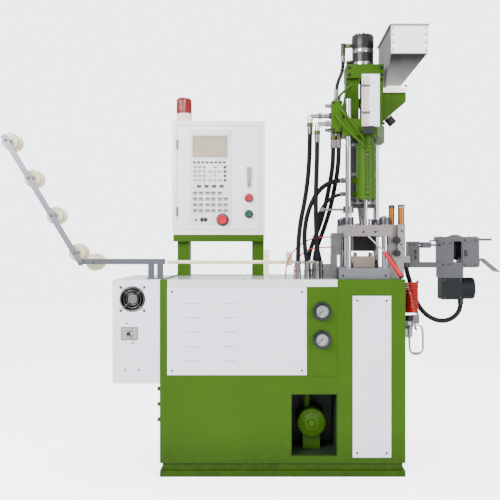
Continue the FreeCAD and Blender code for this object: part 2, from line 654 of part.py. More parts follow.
def feed_arm_lower():
    """The square tube with its two posts, the pivot pin and the tail roller's pin."""
    tube_z = ("arm_z - arm_tube / 2", "arm_z + arm_tube / 2")
    tube = box(("pivot_x - 6", f"{LEFT} + 7"), ("-arm_front", ARM_BACK), tube_z)
    box_top = "(box_low + box_height)"
    posts = []
    for index in range(2):
        left = f"(post_left + post_pitch * {index})"
        posts.append(box((left, f"{left} + arm_tube"), ("-arm_front", ARM_BACK), (box_top, tube_z[0])))
        posts.append(box((f"{left} - 8", f"{left} + arm_tube"), ("-arm_front", f"{ARM_BACK} + 12"), (box_top, f"{box_top} + 5")))
    pivot = rod("Y", ("pivot_x", "pivot_z"), (f"-arm_front - arm_thick - 6", ARM_BACK), "pin_width")
    tail = roller_pin("tail_roller_x", "arm_z - 3", ARM_BACK)
    return node("feed_arm_lower", join(tube, *posts, pivot, tail))


def feed_arm_upper():
    """The flat bar that carries four roller pins, bored for the pivot."""
    plate_back = "(-arm_front - fit)"
    front = f"({plate_back} - arm_thick)"
    bar = box(("0", "arm_length"), (front, plate_back), ("-arm_tube / 2", "arm_tube / 2"))
    end = rod("Y", ("0", "0"), (front, plate_back), "arm_tube")
    bore = rod("Y", ("0", "0"), (f"{front} - 1", f"{plate_back} + 1"), "pin_width + fit * 2")
    plate = cut(join(bar, end), bore)
    pins = [roller_pin(roller_along(index), "0", plate_back) for index in range(4)]
    return node("feed_arm_upper", arm_frame(join(plate, *pins)))


ROLLER_PROFILE = (
    ("pin_width / 2 + fit", "0"), ("roller_width / 2", "0"), ("roller_width / 2", "6"),
    ("roller_waist / 2 + 5", "roller_length * 0.3"), ("roller_waist / 2", "roller_length / 2"),
    ("roller_waist / 2 + 5", "roller_length * 0.7"), ("roller_width / 2", "roller_length - 6"),
    ("roller_width / 2", "roller_length"), ("pin_width / 2 + fit", "roller_length"),
)


def guide_rollers():
    """Four grooved rollers on the upper arm and one on the lower arm."""
    for index in range(4):
        roller = turned_body(ROLLER_PROFILE, "Y", ("0", "0"), ROLLER_FRONT)
        along = roller_along(index)
        roller.setExpression("Placement.Base.x", in_sheet(f"pivot_x + {along} * cos(arm_angle)"))
        roller.setExpression("Placement.Base.z", in_sheet(f"pivot_z + {along} * sin(arm_angle)"))
        node(f"guide_roller_{index + 1}", roller)
    node("guide_roller_5", turned_body(ROLLER_PROFILE, "Y", ("tail_roller_x", "arm_z - 3"), ROLLER_FRONT))


def guide_tube():
    """The tube that leads the strip to the mould, with its bracket and clamp block."""
    middle = ("roller_y", "tube_z")
    span = ("tube_left", "tube_right")
    tube = cut(rod("X", middle, span, "tube_width"), rod("X", middle, ("tube_left - 1", "tube_right + 1"), "tube_bore"))
    front = "(roller_y - tube_width / 2)"
    across = ("bracket_x", "bracket_x + bracket_width")
    upright = box(across, (f"{front} - 8", front), (TABLE, f"{TABLE} + bracket_height"))
    foot = box(across, (f"{front} - 8", f"{front} + 34"), (TABLE, f"{TABLE} + 6"))
    holes = [rod("Y", ("bracket_x + bracket_width / 2", f"{TABLE} + bracket_height - {drop}"),
                 (f"{front} - 9", f"{front} + 1"), "8") for drop in (14, 38)]
    bracket = cut(join(upright, foot), *holes)
    block_x = ("block_x", "block_x + block_width")
    block = box(block_x, (f"{front} - 7", "roller_y + 16"), ("tube_z - 16", "tube_z + 48"))
    clamp = cut(block, rod("X", middle, ("block_x - 1", "block_x + block_width + 1"), "tube_width"))
    return node("guide_tube", group(tube, bracket, clamp))


PLATEN_X = (f"({AXIS_X} - platen_width / 2)", f"({AXIS_X} + platen_width / 2)")
PLATEN_Y = (PLATEN_FRONT, f"({PLATEN_FRONT} + platen_depth)")
MOULD_X = (f"({AXIS_X} - mould_width / 2)", f"({AXIS_X} + mould_width / 2)")
MOULD_Y = (f"({AXIS_Y} - mould_width / 2)", f"({AXIS_Y} + mould_width / 2)")
LOWER_TOP = f"({BOLSTER_TOP} + lower_mould)"
TIES = [(f"({AXIS_X} + {across} * tie_span / 2)", f"({AXIS_Y} + {back} * tie_reach / 2)")
        for across in (-1, 1) for back in (-1, 1)]
GUIDE_TIES = (TIES[0], TIES[3])


def through(middle, span, width):
    """An upright bore that runs past both faces."""
    return rod("Z", middle, (f"{span[0]} - 1", f"{span[1]} + 1"), width)


def bolster_plate():
    """The lower plate of the clamp, bored for the tie bars."""
    span = (TABLE, BOLSTER_TOP)
    plate = box((f"{AXIS_X} - bolster_left", f"{AXIS_X} + bolster_right"), PLATEN_Y, span)
    return node("bolster_plate", cut(plate, *[through(tie, span, "tie_bar + fit * 2") for tie in TIES]))


def top_platen():
    """The upper plate of the clamp, bored for the tie bars, nozzle and two eye screws."""
    span = (PLATEN_LOW, PLATEN_TOP)
    plate = box(PLATEN_X, PLATEN_Y, span)
    bores = [through(tie, span, "tie_bar + fit * 2") for tie in TIES]
    bores.append(through((AXIS_X, AXIS_Y), span, "nozzle_bore"))
    for across in (-20, 35):
        bores.append(rod("Y", (f"{AXIS_X} + {across}", f"{PLATEN_LOW} + 20"),
                         (f"{PLATEN_FRONT} - 1", f"{PLATEN_FRONT} + 25"), "12"))
    return node("top_platen", cut(plate, *bores))


def tie_bars():
    """Four tie bars with their nuts. Two of them run on upward as the carriage's guide rods."""
    solids = []
    for tie in TIES:
        nut_top = f"({PLATEN_TOP} + nut_height)"
        top = "guide_rod_top" if tie in GUIDE_TIES else f"{nut_top} + 6"
        bar = rod("Z", tie, (TABLE, top), "tie_bar")
        solids.append(join(bar, rod("Z", tie, (PLATEN_TOP, nut_top), "nut_width")))
    return node("tie_bars", group(*solids))


DOWELS = [(f"({AXIS_X} + {across} * mould_width * 0.36)", f"({AXIS_Y} + {back} * mould_width * 0.36)")
          for across in (-1, 1) for back in (-1, 1)]


def lower_mould():
    """The lower mould half with its cavity and four dowels."""
    block = box(MOULD_X, MOULD_Y, (BOLSTER_TOP, LOWER_TOP))
    cavity = box((f"{AXIS_X} - 22", f"{AXIS_X} + 22"), (f"{AXIS_Y} - 22", f"{AXIS_Y} + 22"),
                 (f"{LOWER_TOP} - 12", f"{LOWER_TOP} + 1"))
    dowels = [rod("Z", place, (f"{LOWER_TOP} - 10", f"{LOWER_TOP} + 18"), "dowel_width") for place in DOWELS]
    return node("lower_mould", join(cut(block, cavity), *dowels))


def upper_mould():
    """The upper mould half under the platen, bored for the dowels and the sprue."""
    span = (f"{LOWER_TOP} + mould_gap", PLATEN_LOW)
    block = box(MOULD_X, MOULD_Y, span)
    bores = [rod("Z", place, (f"{span[0]} - 1", f"{span[0]} + 24"), "dowel_width + fit * 2") for place in DOWELS]
    bores.append(through((AXIS_X, AXIS_Y), span, "6"))
    return node("upper_mould", cut(block, *bores))


def valve_block():
    """The clamp's valve stack on the table, with the table's hose fittings and the stop collar."""
    base = box((f"{SEAM} - 53", f"{SEAM} - 20"), ("-190", "-120"), (TABLE, f"{TABLE} + 67"))
    upright = box((f"{SEAM} - 20", f"{SEAM} + 8"), ("-190", "-120"), (TABLE, f"{TABLE} + 109"))
    stack = box((f"{SEAM} - 18", f"{SEAM} + 26"), ("-190", "-120"), (f"{TABLE} + 109", f"{TABLE} + 212"))
    solids = [join(base, upright, stack)]
    for (x, y), width in TABLE_FITTINGS:
        solids.append(rod("Z", (x, y), (TABLE, f"{TABLE} + 35"), f"{width} + 7"))
    collar_z = (f"{PLATEN_TOP} + 57", f"{PLATEN_TOP} + 87")
    rod_x, rod_y = GUIDE_TIES[0]
    ring = rod("Z", (rod_x, rod_y), collar_z, "tie_bar + 22")
    arm_z = f"{PLATEN_TOP} + 72"
    arm = rod("X", (rod_y, arm_z), (f"{rod_x} - 126", rod_x), "10")
    knob = rod("X", (rod_y, arm_z), (f"{rod_x} - 132", f"{rod_x} - 112"), "20")
    solids.append(cut(join(ring, arm, knob), rod("Z", (rod_x, rod_y), (f"{collar_z[0]} - 1", f"{collar_z[1]} + 1"), "tie_bar")))
    return node("valve_block", group(*solids))


TABLE_FITTINGS = (
    (("69", "-200"), "hose_width"), (("157", "-200"), "hose_width"),
    (("111", "-200"), "hose_width"), (("178", "-166"), "thin_hose"),
    (("153", "-72"), "hose_width"), (("124", "-72"), "hose_width"),
)


def guide_plate():
    """The plate beside the mould with its front bar, two amber posts and the cable elbow."""
    y = ("-guide_front", "guide_thick - guide_front")
    plate = box((GUIDE_LEFT, GUIDE_RIGHT), y, (TABLE, GUIDE_TOP))
    bar_x = (f"{GUIDE_RIGHT} - bar_width", GUIDE_RIGHT)
    bar_y = ("-guide_front - bar_reach", "-guide_front")
    bar = box(bar_x, bar_y, (f"{TABLE} + bar_low", GUIDE_TOP))
    elbow = box((GUIDE_RIGHT, f"{GUIDE_RIGHT} + 28"), ("-184", "-156"), (f"{TABLE} + 74", f"{TABLE} + 104"))
    bores = [rod("Y", ("lock_x", place), ("-guide_front - 1", "-guide_front + 30"), "lock_stem + fit * 2")
             for place in LOCK_ROWS]
    for place in (f"{GUIDE_TOP} - 30", f"{GUIDE_TOP} - 110"):
        bores.append(rod("Y", (f"{GUIDE_RIGHT} - bar_width / 2 + 6", place),
                         ("-guide_front - bar_reach - 1", "-guide_front - bar_reach + 12"), "8"))
    posts = []
    for x, y_place, width in ((f"{GUIDE_RIGHT} - 16", "-guide_front - 13", "amber_width - 1"),
                              (f"{GUIDE_LEFT} + 14", "-guide_front + 18", "amber_width - 5")):
        top = f"{GUIDE_TOP} + amber_height"
        posts.append(rod("Z", (x, y_place), (GUIDE_TOP, f"{top} - 14"), width))
        posts.append(rod("Z", (x, y_place), (f"{top} - 14", top), f"{width} + 1"))
    return node("guide_plate", join(cut(join(plate, bar, elbow), *bores), *posts))


LOCK_ROWS = ("lock_low", "(lock_low + lock_pitch)")


def lock_knob(name, height):
    """A hand knob on a stem that turns in the guide plate."""
    head = rod("Y", ("lock_x", height), ("-guide_front - 56", "-guide_front - 31"), "lock_head")
    stem = rod("Y", ("lock_x", height), ("-guide_front - 31", "-guide_front + 28"), "lock_stem")
    return node(name, join(head, stem))


SHANK_LOW = "(seat_low)"
SCREW_LOW = "(jacket_low + 18)"


def injection_seat():
    """The carriage casting: foot with rod bosses, two webs, the head and the hopper's throat."""
    left = "(manifold_left + manifold_width)"
    (left_x, front_y), (right_x, back_y) = GUIDE_TIES
    edge = "seat_boss / 2"
    foot_outline = [
        (left, f"{front_y} - {edge}"), (f"{AXIS_X} + 46", f"{front_y} - {edge}"),
        (f"{right_x} + {edge}", f"{back_y} - 70"), (f"{right_x} + {edge}", f"{back_y} + {edge}"),
        (f"{right_x} - {edge}", f"{back_y} + {edge}"), (left, f"{front_y} + 72"),
    ]
    foot = padded_body("XY_Plane", foot_outline, "seat_low", "seat_height")
    collar = rod("Z", (AXIS_X, "lift_y"), ("seat_low - collar_height + 2", "seat_low"), "lift_width - 14")
    web_y = (f"{AXIS_Y} - 44", f"{AXIS_Y} + 46")
    web_z = (SEAT_TOP, "head_low")
    left_web = box((f"{AXIS_X} - 84", f"{AXIS_X} - 24"), web_y, web_z)
    right_web = box((f"{AXIS_X} + 62", f"{AXIS_X} + 91"), web_y, web_z)
    head = box((f"{AXIS_X} - 84", f"{AXIS_X} + 91"), (f"{AXIS_Y} - 66", f"{AXIS_Y} + 66"), ("head_low", HEAD_TOP))
    throat_right = "(hopper_left + throat_width + 24)"
    throat_top = "(throat_z - 21)"
    throat = padded_body("XZ_Plane", [
        (f"{AXIS_X} + 91", f"{throat_top} - 134"), (throat_right, f"{throat_top} - 39"),
        (throat_right, throat_top), (f"{AXIS_X} + 80", throat_top), (f"{AXIS_X} + 80", f"{throat_top} - 134"),
    ], f"-({AXIS_Y} + 36)", "72")
    ribs = [padded_body("XZ_Plane", [
        (f"{AXIS_X} - 110", SEAT_TOP), (f"{AXIS_X} - 84", SEAT_TOP), (f"{AXIS_X} - 84", f"{SEAT_TOP} + 150"),
    ], f"-({AXIS_Y} + {offset})", "12") for offset in (-30, 46)]
    casting = join(foot, collar, left_web, right_web, head, throat, *ribs)
    span = ("seat_low", SEAT_TOP)
    bores = [through(tie, span, "tie_bar + fit * 2") for tie in GUIDE_TIES]
    bores.append(through((AXIS_X, AXIS_Y), span, "barrel_bore + 1"))
    bores.append(through((AXIS_X, AXIS_Y), ("head_low", HEAD_TOP), "ram_width + fit * 2"))
    return node("injection_seat", cut(casting, *bores))


def barrel():
    """The barrel with its bore and the nozzle below it."""
    middle = (AXIS_X, AXIS_Y)
    tube = rod("Z", middle, ("jacket_low", "seat_low"), "barrel_width")
    nozzle = cone("Z", middle, (f"{PLATEN_LOW} + 18", "jacket_low"), "nozzle_tip", "nozzle_bore - 10")
    tip = rod("Z", middle, (PLATEN_LOW, f"{PLATEN_LOW} + 18"), "nozzle_tip")
    bore = rod("Z", middle, ("jacket_low + 10", "seat_low + 1"), "barrel_bore")
    sprue = rod("Z", middle, (f"{PLATEN_LOW} - 1", "jacket_low + 11"), "5")
    return node("barrel", cut(join(tube, nozzle, tip), bore, sprue))


def barrel_cover():
    """The heat guard around the barrel: a double walled sleeve."""
    middle = (AXIS_X, AXIS_Y)
    sleeve = rod("Z", middle, ("jacket_low", "seat_low"), "jacket_width")
    room = cut(rod("Z", middle, ("jacket_low + 6", "seat_low - 6"), "jacket_width - 6"),
               rod("Z", middle, ("jacket_low + 5", "seat_low - 5"), "barrel_width + 6"))
    bore = rod("Z", middle, ("jacket_low - 1", "seat_low + 1"), "barrel_width")
    return node("barrel_cover", cut(sleeve, room, bore))


def screw():
    """The plasticising screw: tip, flighted length, shank and drive flange."""
    radius = "(barrel_bore / 2 - fit)"
    flange = "ram_joint"
    corners = [
        ("0", SCREW_LOW), (radius, f"{SCREW_LOW} + 16"), (radius, SHANK_LOW), ("ram_width / 2", SHANK_LOW),
        ("ram_width / 2", f"{flange} - 20"), ("ram_width * 0.8", f"{flange} - 20"),
        ("ram_width * 0.8", flange), ("0", flange),
    ]
    return node("screw", turned_body(corners, "Z", (AXIS_X, AXIS_Y), "0"))


def ram():
    """The injection ram: its coupling, rod and piston."""
    piston = "(piston_width / 2 - fit)"
    corners = [
        ("0", "ram_joint"), ("ram_width * 0.8", "ram_joint"), ("ram_width * 0.8", "ram_joint + 24"),
        ("ram_width / 2", "ram_joint + 24"), ("ram_width / 2", HEAD_TOP), (piston, HEAD_TOP),
        (piston, f"{HEAD_TOP} + piston_height"), ("0", f"{HEAD_TOP} + piston_height"),
    ]
    return node("injection_ram", turned_body(corners, "Z", (AXIS_X, AXIS_Y), "0"))


def injection_cylinder():
    """The top cylinder, its bolted cap and the elbow fitting on its left."""
    middle = (AXIS_X, AXIS_Y)
    top = f"({HEAD_TOP} + cylinder_height)"
    body = rod("Z", middle, (HEAD_TOP, top), "cylinder_width")
    room = rod("Z", middle, (f"{HEAD_TOP} - 1", f"{HEAD_TOP} + piston_height + ram_stroke + 12"), "piston_width")
    bolts = []
    for index in range(6):
        turn = math.radians(60 * index + 30)
        x = f"{AXIS_X} + (cylinder_width / 2 - 10) * {math.cos(turn):.5f}"
        y = f"{AXIS_Y} + (cylinder_width / 2 - 10) * {math.sin(turn):.5f}"
        bolts.append(rod("Z", (x, y), (top, f"{top} + 6"), "12"))
    port_z = f"{HEAD_TOP} + 104"
    port = rod("X", (AXIS_Y, port_z), ("290 - 10", f"{AXIS_X} - cylinder_width / 2 + 6"), "20")
    elbow = rod("Z", ("290", AXIS_Y), ("1960", f"{port_z} + 10"), "thin_hose + 6")
    low_port = rod("X", (AXIS_Y, f"{HEAD_TOP} + 24"), (f"{AXIS_X} - cylinder_width / 2 - 28",
                                                     f"{AXIS_X} - cylinder_width / 2 + 6"), "20")
    return node("injection_cylinder", join(cut(body, room), *bolts, port, elbow, low_port))


def carriage_cylinder():
    """The lift cylinder of the carriage, with its two ports and the pipe along its front."""
    middle = (AXIS_X, "lift_y")
    top = "(lift_low + lift_height)"
    body = rod("Z", middle, ("lift_low", top), "lift_width")
    room = rod("Z", middle, ("lift_low + 16", f"{top} - 16"), "lift_bore")
    gland = rod("Z", middle, ("lift_low - 1", "lift_low + 17"), "lift_rod + fit * 2")
    pipe_y = "lift_y - lift_width / 2 - 6"
    pipe = rod("Z", (AXIS_X, pipe_y), ("lift_low + 30", f"{top} - 20"), "8")
    lugs = [box((f"{AXIS_X} - 8", f"{AXIS_X} + 8"), (f"{pipe_y} - 6", "lift_y - lift_width / 2 + 4"), span)
            for span in (("lift_low + 22", "lift_low + 38"), (f"{top} - 36", f"{top} - 20"))]
    ports = [rod("X", ("-180", height), ("310", f"{AXIS_X} - lift_width / 2 + 8"), width)
             for height, width in (("1345", "hose_width + 7"), ("1282", "thin_hose + 7"))]
    return node("carriage_cylinder", join(cut(join(body, *ports), room, gland), pipe, *lugs))


def carriage_rod():
    """The lift cylinder's rod, standing on the platen, with its nut and piston."""
    middle = (AXIS_X, "lift_y")
    shaft = rod("Z", middle, (PLATEN_TOP, "lift_piston + 30"), "lift_rod")
    piston = rod("Z", middle, ("lift_piston", "lift_piston + 25"), "lift_bore - fit * 2")
    nut = rod("Z", middle, (PLATEN_TOP, f"{PLATEN_TOP} + 31"), "41")
    return node("carriage_rod", join(shaft, piston, nut))


def scale_cover():
    """The stroke scale's cover on the casting's front, and the small block under it."""
    back = f"({GUIDE_TIES[0][1]} - seat_boss / 2)"
    y = (f"{back} - scale_thick", back)
    cover = box(("scale_left", "scale_left + scale_width"), y, ("scale_low", "scale_low + scale_height"))
    block = box(("scale_left + 4", "scale_left + 50"), y, ("seat_low + 4", "scale_low"))
    return node("scale_cover", join(cover, block))


def funnel(low_x, low_y, high_x, high_y, span):
    """A tapered block between two rectangles, one above the other."""
    item = DOC.addObject("Part::Wedge", "funnel")
    sizes = {
        "Xmin": low_x[0], "Xmax": low_x[1], "Zmin": f"-({low_y[1]})", "Zmax": f"-({low_y[0]})",
        "X2min": high_x[0], "X2max": high_x[1], "Z2min": f"-({high_y[1]})", "Z2max": f"-({high_y[0]})",
        "Ymin": span[0], "Ymax": span[1],
    }
    for name, text in sizes.items():
        item.setExpression(name, in_sheet(text))
    item.Placement = Placement(Vector(), Rotation(Vector(1, 0, 0), 90))
    return item


def hopper_shape(inset):
    """The hopper's outline from neck to rim, drawn in by an inset."""
    neck_x = (f"hopper_left + {inset}", f"hopper_left + throat_width - {inset}")
    neck_y = (f"{AXIS_Y} - throat_width / 2 + {inset}", f"{AXIS_Y} + throat_width / 2 - {inset}")
    band_x = (f"hopper_left + {inset}", f"hopper_left + hopper_width - {inset}")
    band_y = (f"-hopper_front + {inset}", f"hopper_depth - hopper_front - {inset}")
    reach = "1" if inset != "0" else "0"
    neck = box(neck_x, neck_y, (f"throat_z - {reach}", "hopper_neck"))
    taper = funnel(neck_x, neck_y, band_x, band_y, ("hopper_neck", "hopper_band"))
    band = box(band_x, band_y, ("hopper_band", f"hopper_top + {reach}"))
    return join(neck, taper, band)


def hopper():
    """The open sheet steel hopper on its base plate, with a rolled rim and the throat's cap."""
    shell = cut(hopper_shape("0"), hopper_shape("hopper_wall"))
    rim_low = "hopper_top - 8"
    rim_x = ("hopper_left - 4", "hopper_left + hopper_width + 4")
    rim_y = ("-hopper_front - 4", "hopper_depth - hopper_front + 4")
    rim = cut(box(rim_x, rim_y, (rim_low, "hopper_top")),
              box(("hopper_left", "hopper_left + hopper_width"), ("-hopper_front", "hopper_depth - hopper_front"),
                  (f"{rim_low} - 1", "hopper_top + 1")))
    base = box((f"{AXIS_X} + 91", "hopper_left + throat_width + 25"), (f"{AXIS_Y} - 50", f"{AXIS_Y} + 50"),
               ("throat_z - 21", "throat_z"))
    mouth = rod("Z", ("hopper_left + throat_width / 2", AXIS_Y), ("throat_z - 22", "throat_z + 1"), "44")
    return node("hopper", group(join(shell, rim, cut(base, mouth)), feed_cap()))


def feed_cap():
    """The round cap on the throat's slanted face."""
    cap = DOC.addObject("Part::Cylinder", "cap")
    cap.Radius = 20
    cap.Height = 41
    slope = math.degrees(math.atan2(95, 110))
    cap.Placement = Placement(Vector(), Rotation(Vector(0, 1, 0), 180 - slope))
    cap.setExpression("Placement.Base.x", in_sheet(f"{AXIS_X} + 91 + 110 * 0.25 + 0.2"))
    cap.setExpression("Placement.Base.y", in_sheet(AXIS_Y))
    cap.setExpression("Placement.Base.z", in_sheet("throat_z - 155 + 95 * 0.25 - 0.2"))
    return cap


def manifold():
    """The oil manifold on the casting's left, with two elbows and two plugs."""
    x = ("manifold_left", "manifold_left + manifold_width")
    block = box(x, ("-250", "-196"), ("manifold_low", "manifold_low + manifold_height"))
    fittings = []
    for middle_x, y, height, width in (("124", "-205", "1642", "hose_width"), ("155", "-241", "1600", "hose_width")):
        fittings.append(rod("X", (y, height), (f"{middle_x} - 12", "manifold_left"), "24"))
        fittings.append(rod("Z", (middle_x, y), (f"{height} - 42", f"{height} + 12"), f"{width} + 5"))
    for place in (("231.5", "-209"), ("257", "-209")):
        fittings.append(rod("Z", place, ("manifold_low - 25", "manifold_low"), "hose_width + 4"))
    for height in ("1685", "1572"):
        fittings.append(rod("X", ("-223", height), ("manifold_left - 30", "manifold_left"), "18"))
    top = "manifold_low + manifold_height"
    fittings.append(rod("Z", ("245", "-220"), (top, "1715"), "thin_hose + 5"))
    return node("manifold", join(block, *fittings))


TAKE_Y = ("-takeoff_front", "(takeoff_depth - takeoff_front)")
PLATE_TOP = "(arm_plate_low + arm_plate)"


def takeoff_frame():
    """The take-off unit's arm, block, two housings, top plate, motor bracket and run-out rod."""
    arm = box((GUIDE_RIGHT, "arm_plate_right"), TAKE_Y, ("arm_plate_low", PLATE_TOP))
    block = box((f"{GUIDE_RIGHT} + 27", f"{GUIDE_RIGHT} + 82"), (TAKE_Y[0], f"{TAKE_Y[0]} + 60"), (PLATE_TOP, "housing_top"))
    left = box(("wheel_x - 97", "wheel_x - 34"), TAKE_Y, (PLATE_TOP, "housing_top"))
    right = box(("wheel_x + 2", "wheel_x + 86"), TAKE_Y, ("arm_plate_low + 2", "housing_top + 19"))
    top = box(("wheel_x - 106", "wheel_x + 79"), TAKE_Y, ("housing_top", "housing_top + 22"))
    bracket = box(("motor_left - 7", "motor_left + 99"), TAKE_Y, ("arm_plate_low - 49", "arm_plate_low"))
    run_out = rod("X", ("-takeoff_front + 40", "housing_top + 9"), ("wheel_x + 80", "wheel_x + 155"), "11")
    axle = rod("Y", ("wheel_x", "wheel_z"), (f"{TAKE_Y[1]} - 10", f"{TAKE_Y[1]} + 30"), "16")
    bores = [rod("X", (place, "jaw_z"), ("wheel_x - 98", "wheel_x - 33"), "10 + fit * 2") for place in JAW_RODS]
    body = join(cut(join(arm, block, left, right, top, bracket, run_out), *bores), axle)
    return node("takeoff_frame", group(body, output_chute()))


JAW_RODS = ("(-takeoff_front + 16)", "(-takeoff_front + 44)")


def takeoff_jaw():
    """The gripping jaw on two guide rods that slide in the left housing."""
    plate_x = ("wheel_x - 179", "wheel_x - 139")
    jaw = box(plate_x, ("-takeoff_front + 4", "-takeoff_front + 56"), ("jaw_z - 14", "jaw_z + 14"))
    teeth = []
    for index in range(4):
        low = f"jaw_z - 13 + 7 * {index}"
        teeth.append(box((f"{plate_x[0]} - 4", plate_x[0]), ("-takeoff_front + 4", "-takeoff_front + 56"), (low, f"{low} + 4")))
    rods = [rod("X", (place, "jaw_z"), (plate_x[1], "wheel_x - 97 + 18"), "10") for place in JAW_RODS]
    return node("takeoff_jaw", join(jaw, *teeth, *rods))


def puller_wheel():
    """The wheel that draws the strip on, on the unit's axle."""
    span = (f"{TAKE_Y[1]} + 2", f"{TAKE_Y[1]} + 2 + wheel_thick")
    middle = ("wheel_x", "wheel_z")
    disc = rod("Y", middle, span, "wheel_width")
    groove = cut(rod("Y", middle, (f"{span[0]} + 6", f"{span[1]} - 6"), "wheel_width + 2"),
                 rod("Y", middle, (f"{span[0]} + 5", f"{span[1]} - 5"), "wheel_width - 10"))
    bore = rod("Y", middle, (f"{span[0]} - 1", f"{span[1]} + 1"), "16 + fit * 2")
    holes = []
    for index in range(4):
        turn = math.radians(90 * index + 45)
        place = (f"wheel_x + wheel_width * 0.28 * {math.cos(turn):.5f}", f"wheel_z + wheel_width * 0.28 * {math.sin(turn):.5f}")
        holes.append(rod("Y", place, (f"{span[0]} - 1", f"{span[1]} + 1"), "18"))
    return node("puller_wheel", cut(disc, groove, bore, *holes))


def takeoff_motor():
    """The geared motor hung under the bracket, with its cable gland."""
    top = "(arm_plate_low - 49)"
    z = (f"{top} - motor_size", top)
    square = box(("motor_left", "motor_left + motor_square"), TAKE_Y, z)
    middle = (f"{TAKE_Y[0]} + takeoff_depth / 2", f"{top} - motor_size / 2")
    barrel_part = rod("X", middle, ("motor_left + motor_square", "motor_left + motor_length"), "motor_size - 2")
    gland = rod("Z", ("850", "-100"), ("782", f"{top} - motor_size / 2"), "conduit_width + 4")
    return node("takeoff_motor", join(square, barrel_part, gland))


def output_chute():
    """The bent sheet that leads the parts away, hooked on the right housing."""
    start = "(wheel_x + 86)"
    corners = [(start, "981"), (f"{start} + 22", "981"), (f"{start} + 97", "919"), (f"{start} + 97", "915.5"),
               (f"{start} + 21", "978"), (f"{start} + 3", "978"), (f"{start} + 3", "950"), (start, "950")]
    return padded_body("XZ_Plane", corners, "takeoff_front - takeoff_depth", "takeoff_depth")


def air_regulator():
    """The air filter and regulator on its bracket, with the hook for the spare tube."""
    middle = ("regulator_x", "regulator_y")
    top = "coil_low"
    head = box(("regulator_x - 17", "regulator_x + 17"), ("regulator_y - 16", "regulator_y + 16"), (f"{top} - 52", f"{top} - 24"))
    knob = rod("Z", middle, (f"{top} - 24", top), "regulator_width - 2")
    band = rod("Z", middle, (f"{top} - 62", f"{top} - 52"), "regulator_width + 2")
    bowl = rod("Z", middle, (f"{top} - 108", f"{top} - 62"), "regulator_width - 4")
    bracket = box((RIGHT, "regulator_x - 16"), ("regulator_y - 10", "regulator_y + 10"), (f"{top} - 46", f"{top} - 30"))
    joint = box(("regulator_x + 16", "regulator_x + 46"), ("regulator_y - 14", "regulator_y + 14"), (f"{top} - 38", top))
    drop = box(("hank_x - 4", "hank_x + 4"), ("regulator_y - 12", "regulator_y - 4"),
               ("hank_low + hank_height - hank_thick - 8", f"{top} - 37"))
    peg = rod("Y", ("hank_x", "hank_low + hank_height - hank_thick - 4.3"),
              ("regulator_y - 44", "regulator_y - 4"), "8")
    return node("air_regulator", join(head, knob, band, bowl, bracket, joint, drop, peg))


def air_tube_coils():
    """The red spring coil and the grey hank, each as its outer shape."""
    coil = rod("Z", ("coil_x", "regulator_y"), ("coil_low", "coil_low + coil_height"), "coil_width")
    y = ("regulator_y - 40", "regulator_y - 40 + hank_thick")
    rings = []
    for grow in ("0", "hank_thick"):
        across = f"(hank_width - 2 * {grow})"
        low = f"(hank_low + {grow} + {across} / 2)"
        high = f"(hank_low + hank_height - {grow} - {across} / 2)"
        reach = (f"{y[0]} - {grow}", f"{y[1]} + {grow}")
        rings.append(join(
            rod("Y", ("hank_x", low), reach, across), rod("Y", ("hank_x", high), reach, across),
            box((f"hank_x - {across} / 2", f"hank_x + {across} / 2"), reach, (low, high))))
    return node("air_tube_coils", group(coil, cut(rings[0], rings[1])))


def leaning_rod(start, end, width_low, width_high):
    """A round or tapered bar between any two points."""
    way = Vector(*end) - Vector(*start)
    if width_low == width_high:
        item = DOC.addObject("Part::Cylinder", "leaning")
        item.Radius = width_low / 2
    else:
        item = DOC.addObject("Part::Cone", "leaning")
        item.Radius1 = width_low / 2
        item.Radius2 = width_high / 2
    item.Height = way.Length
    item.Placement = Placement(Vector(*start), Rotation(Vector(0, 0, 1), way))
    return item


def blow_gun():
    """The air gun that leans on the platen with its grip on the table's edge."""
    y = number(PLATEN_FRONT) - 4.3
    tip = Vector(385, y, 1085)
    neck = Vector(457, y, 1015)
    heel = Vector(541, y, number(TABLE) + 7.1)
    stem = leaning_rod(tip, neck, 8, 8)
    grip = leaning_rod(neck - (heel - neck) * 0.03, heel, 18, 23.4)
    return node("blow_gun", join(stem, grip))


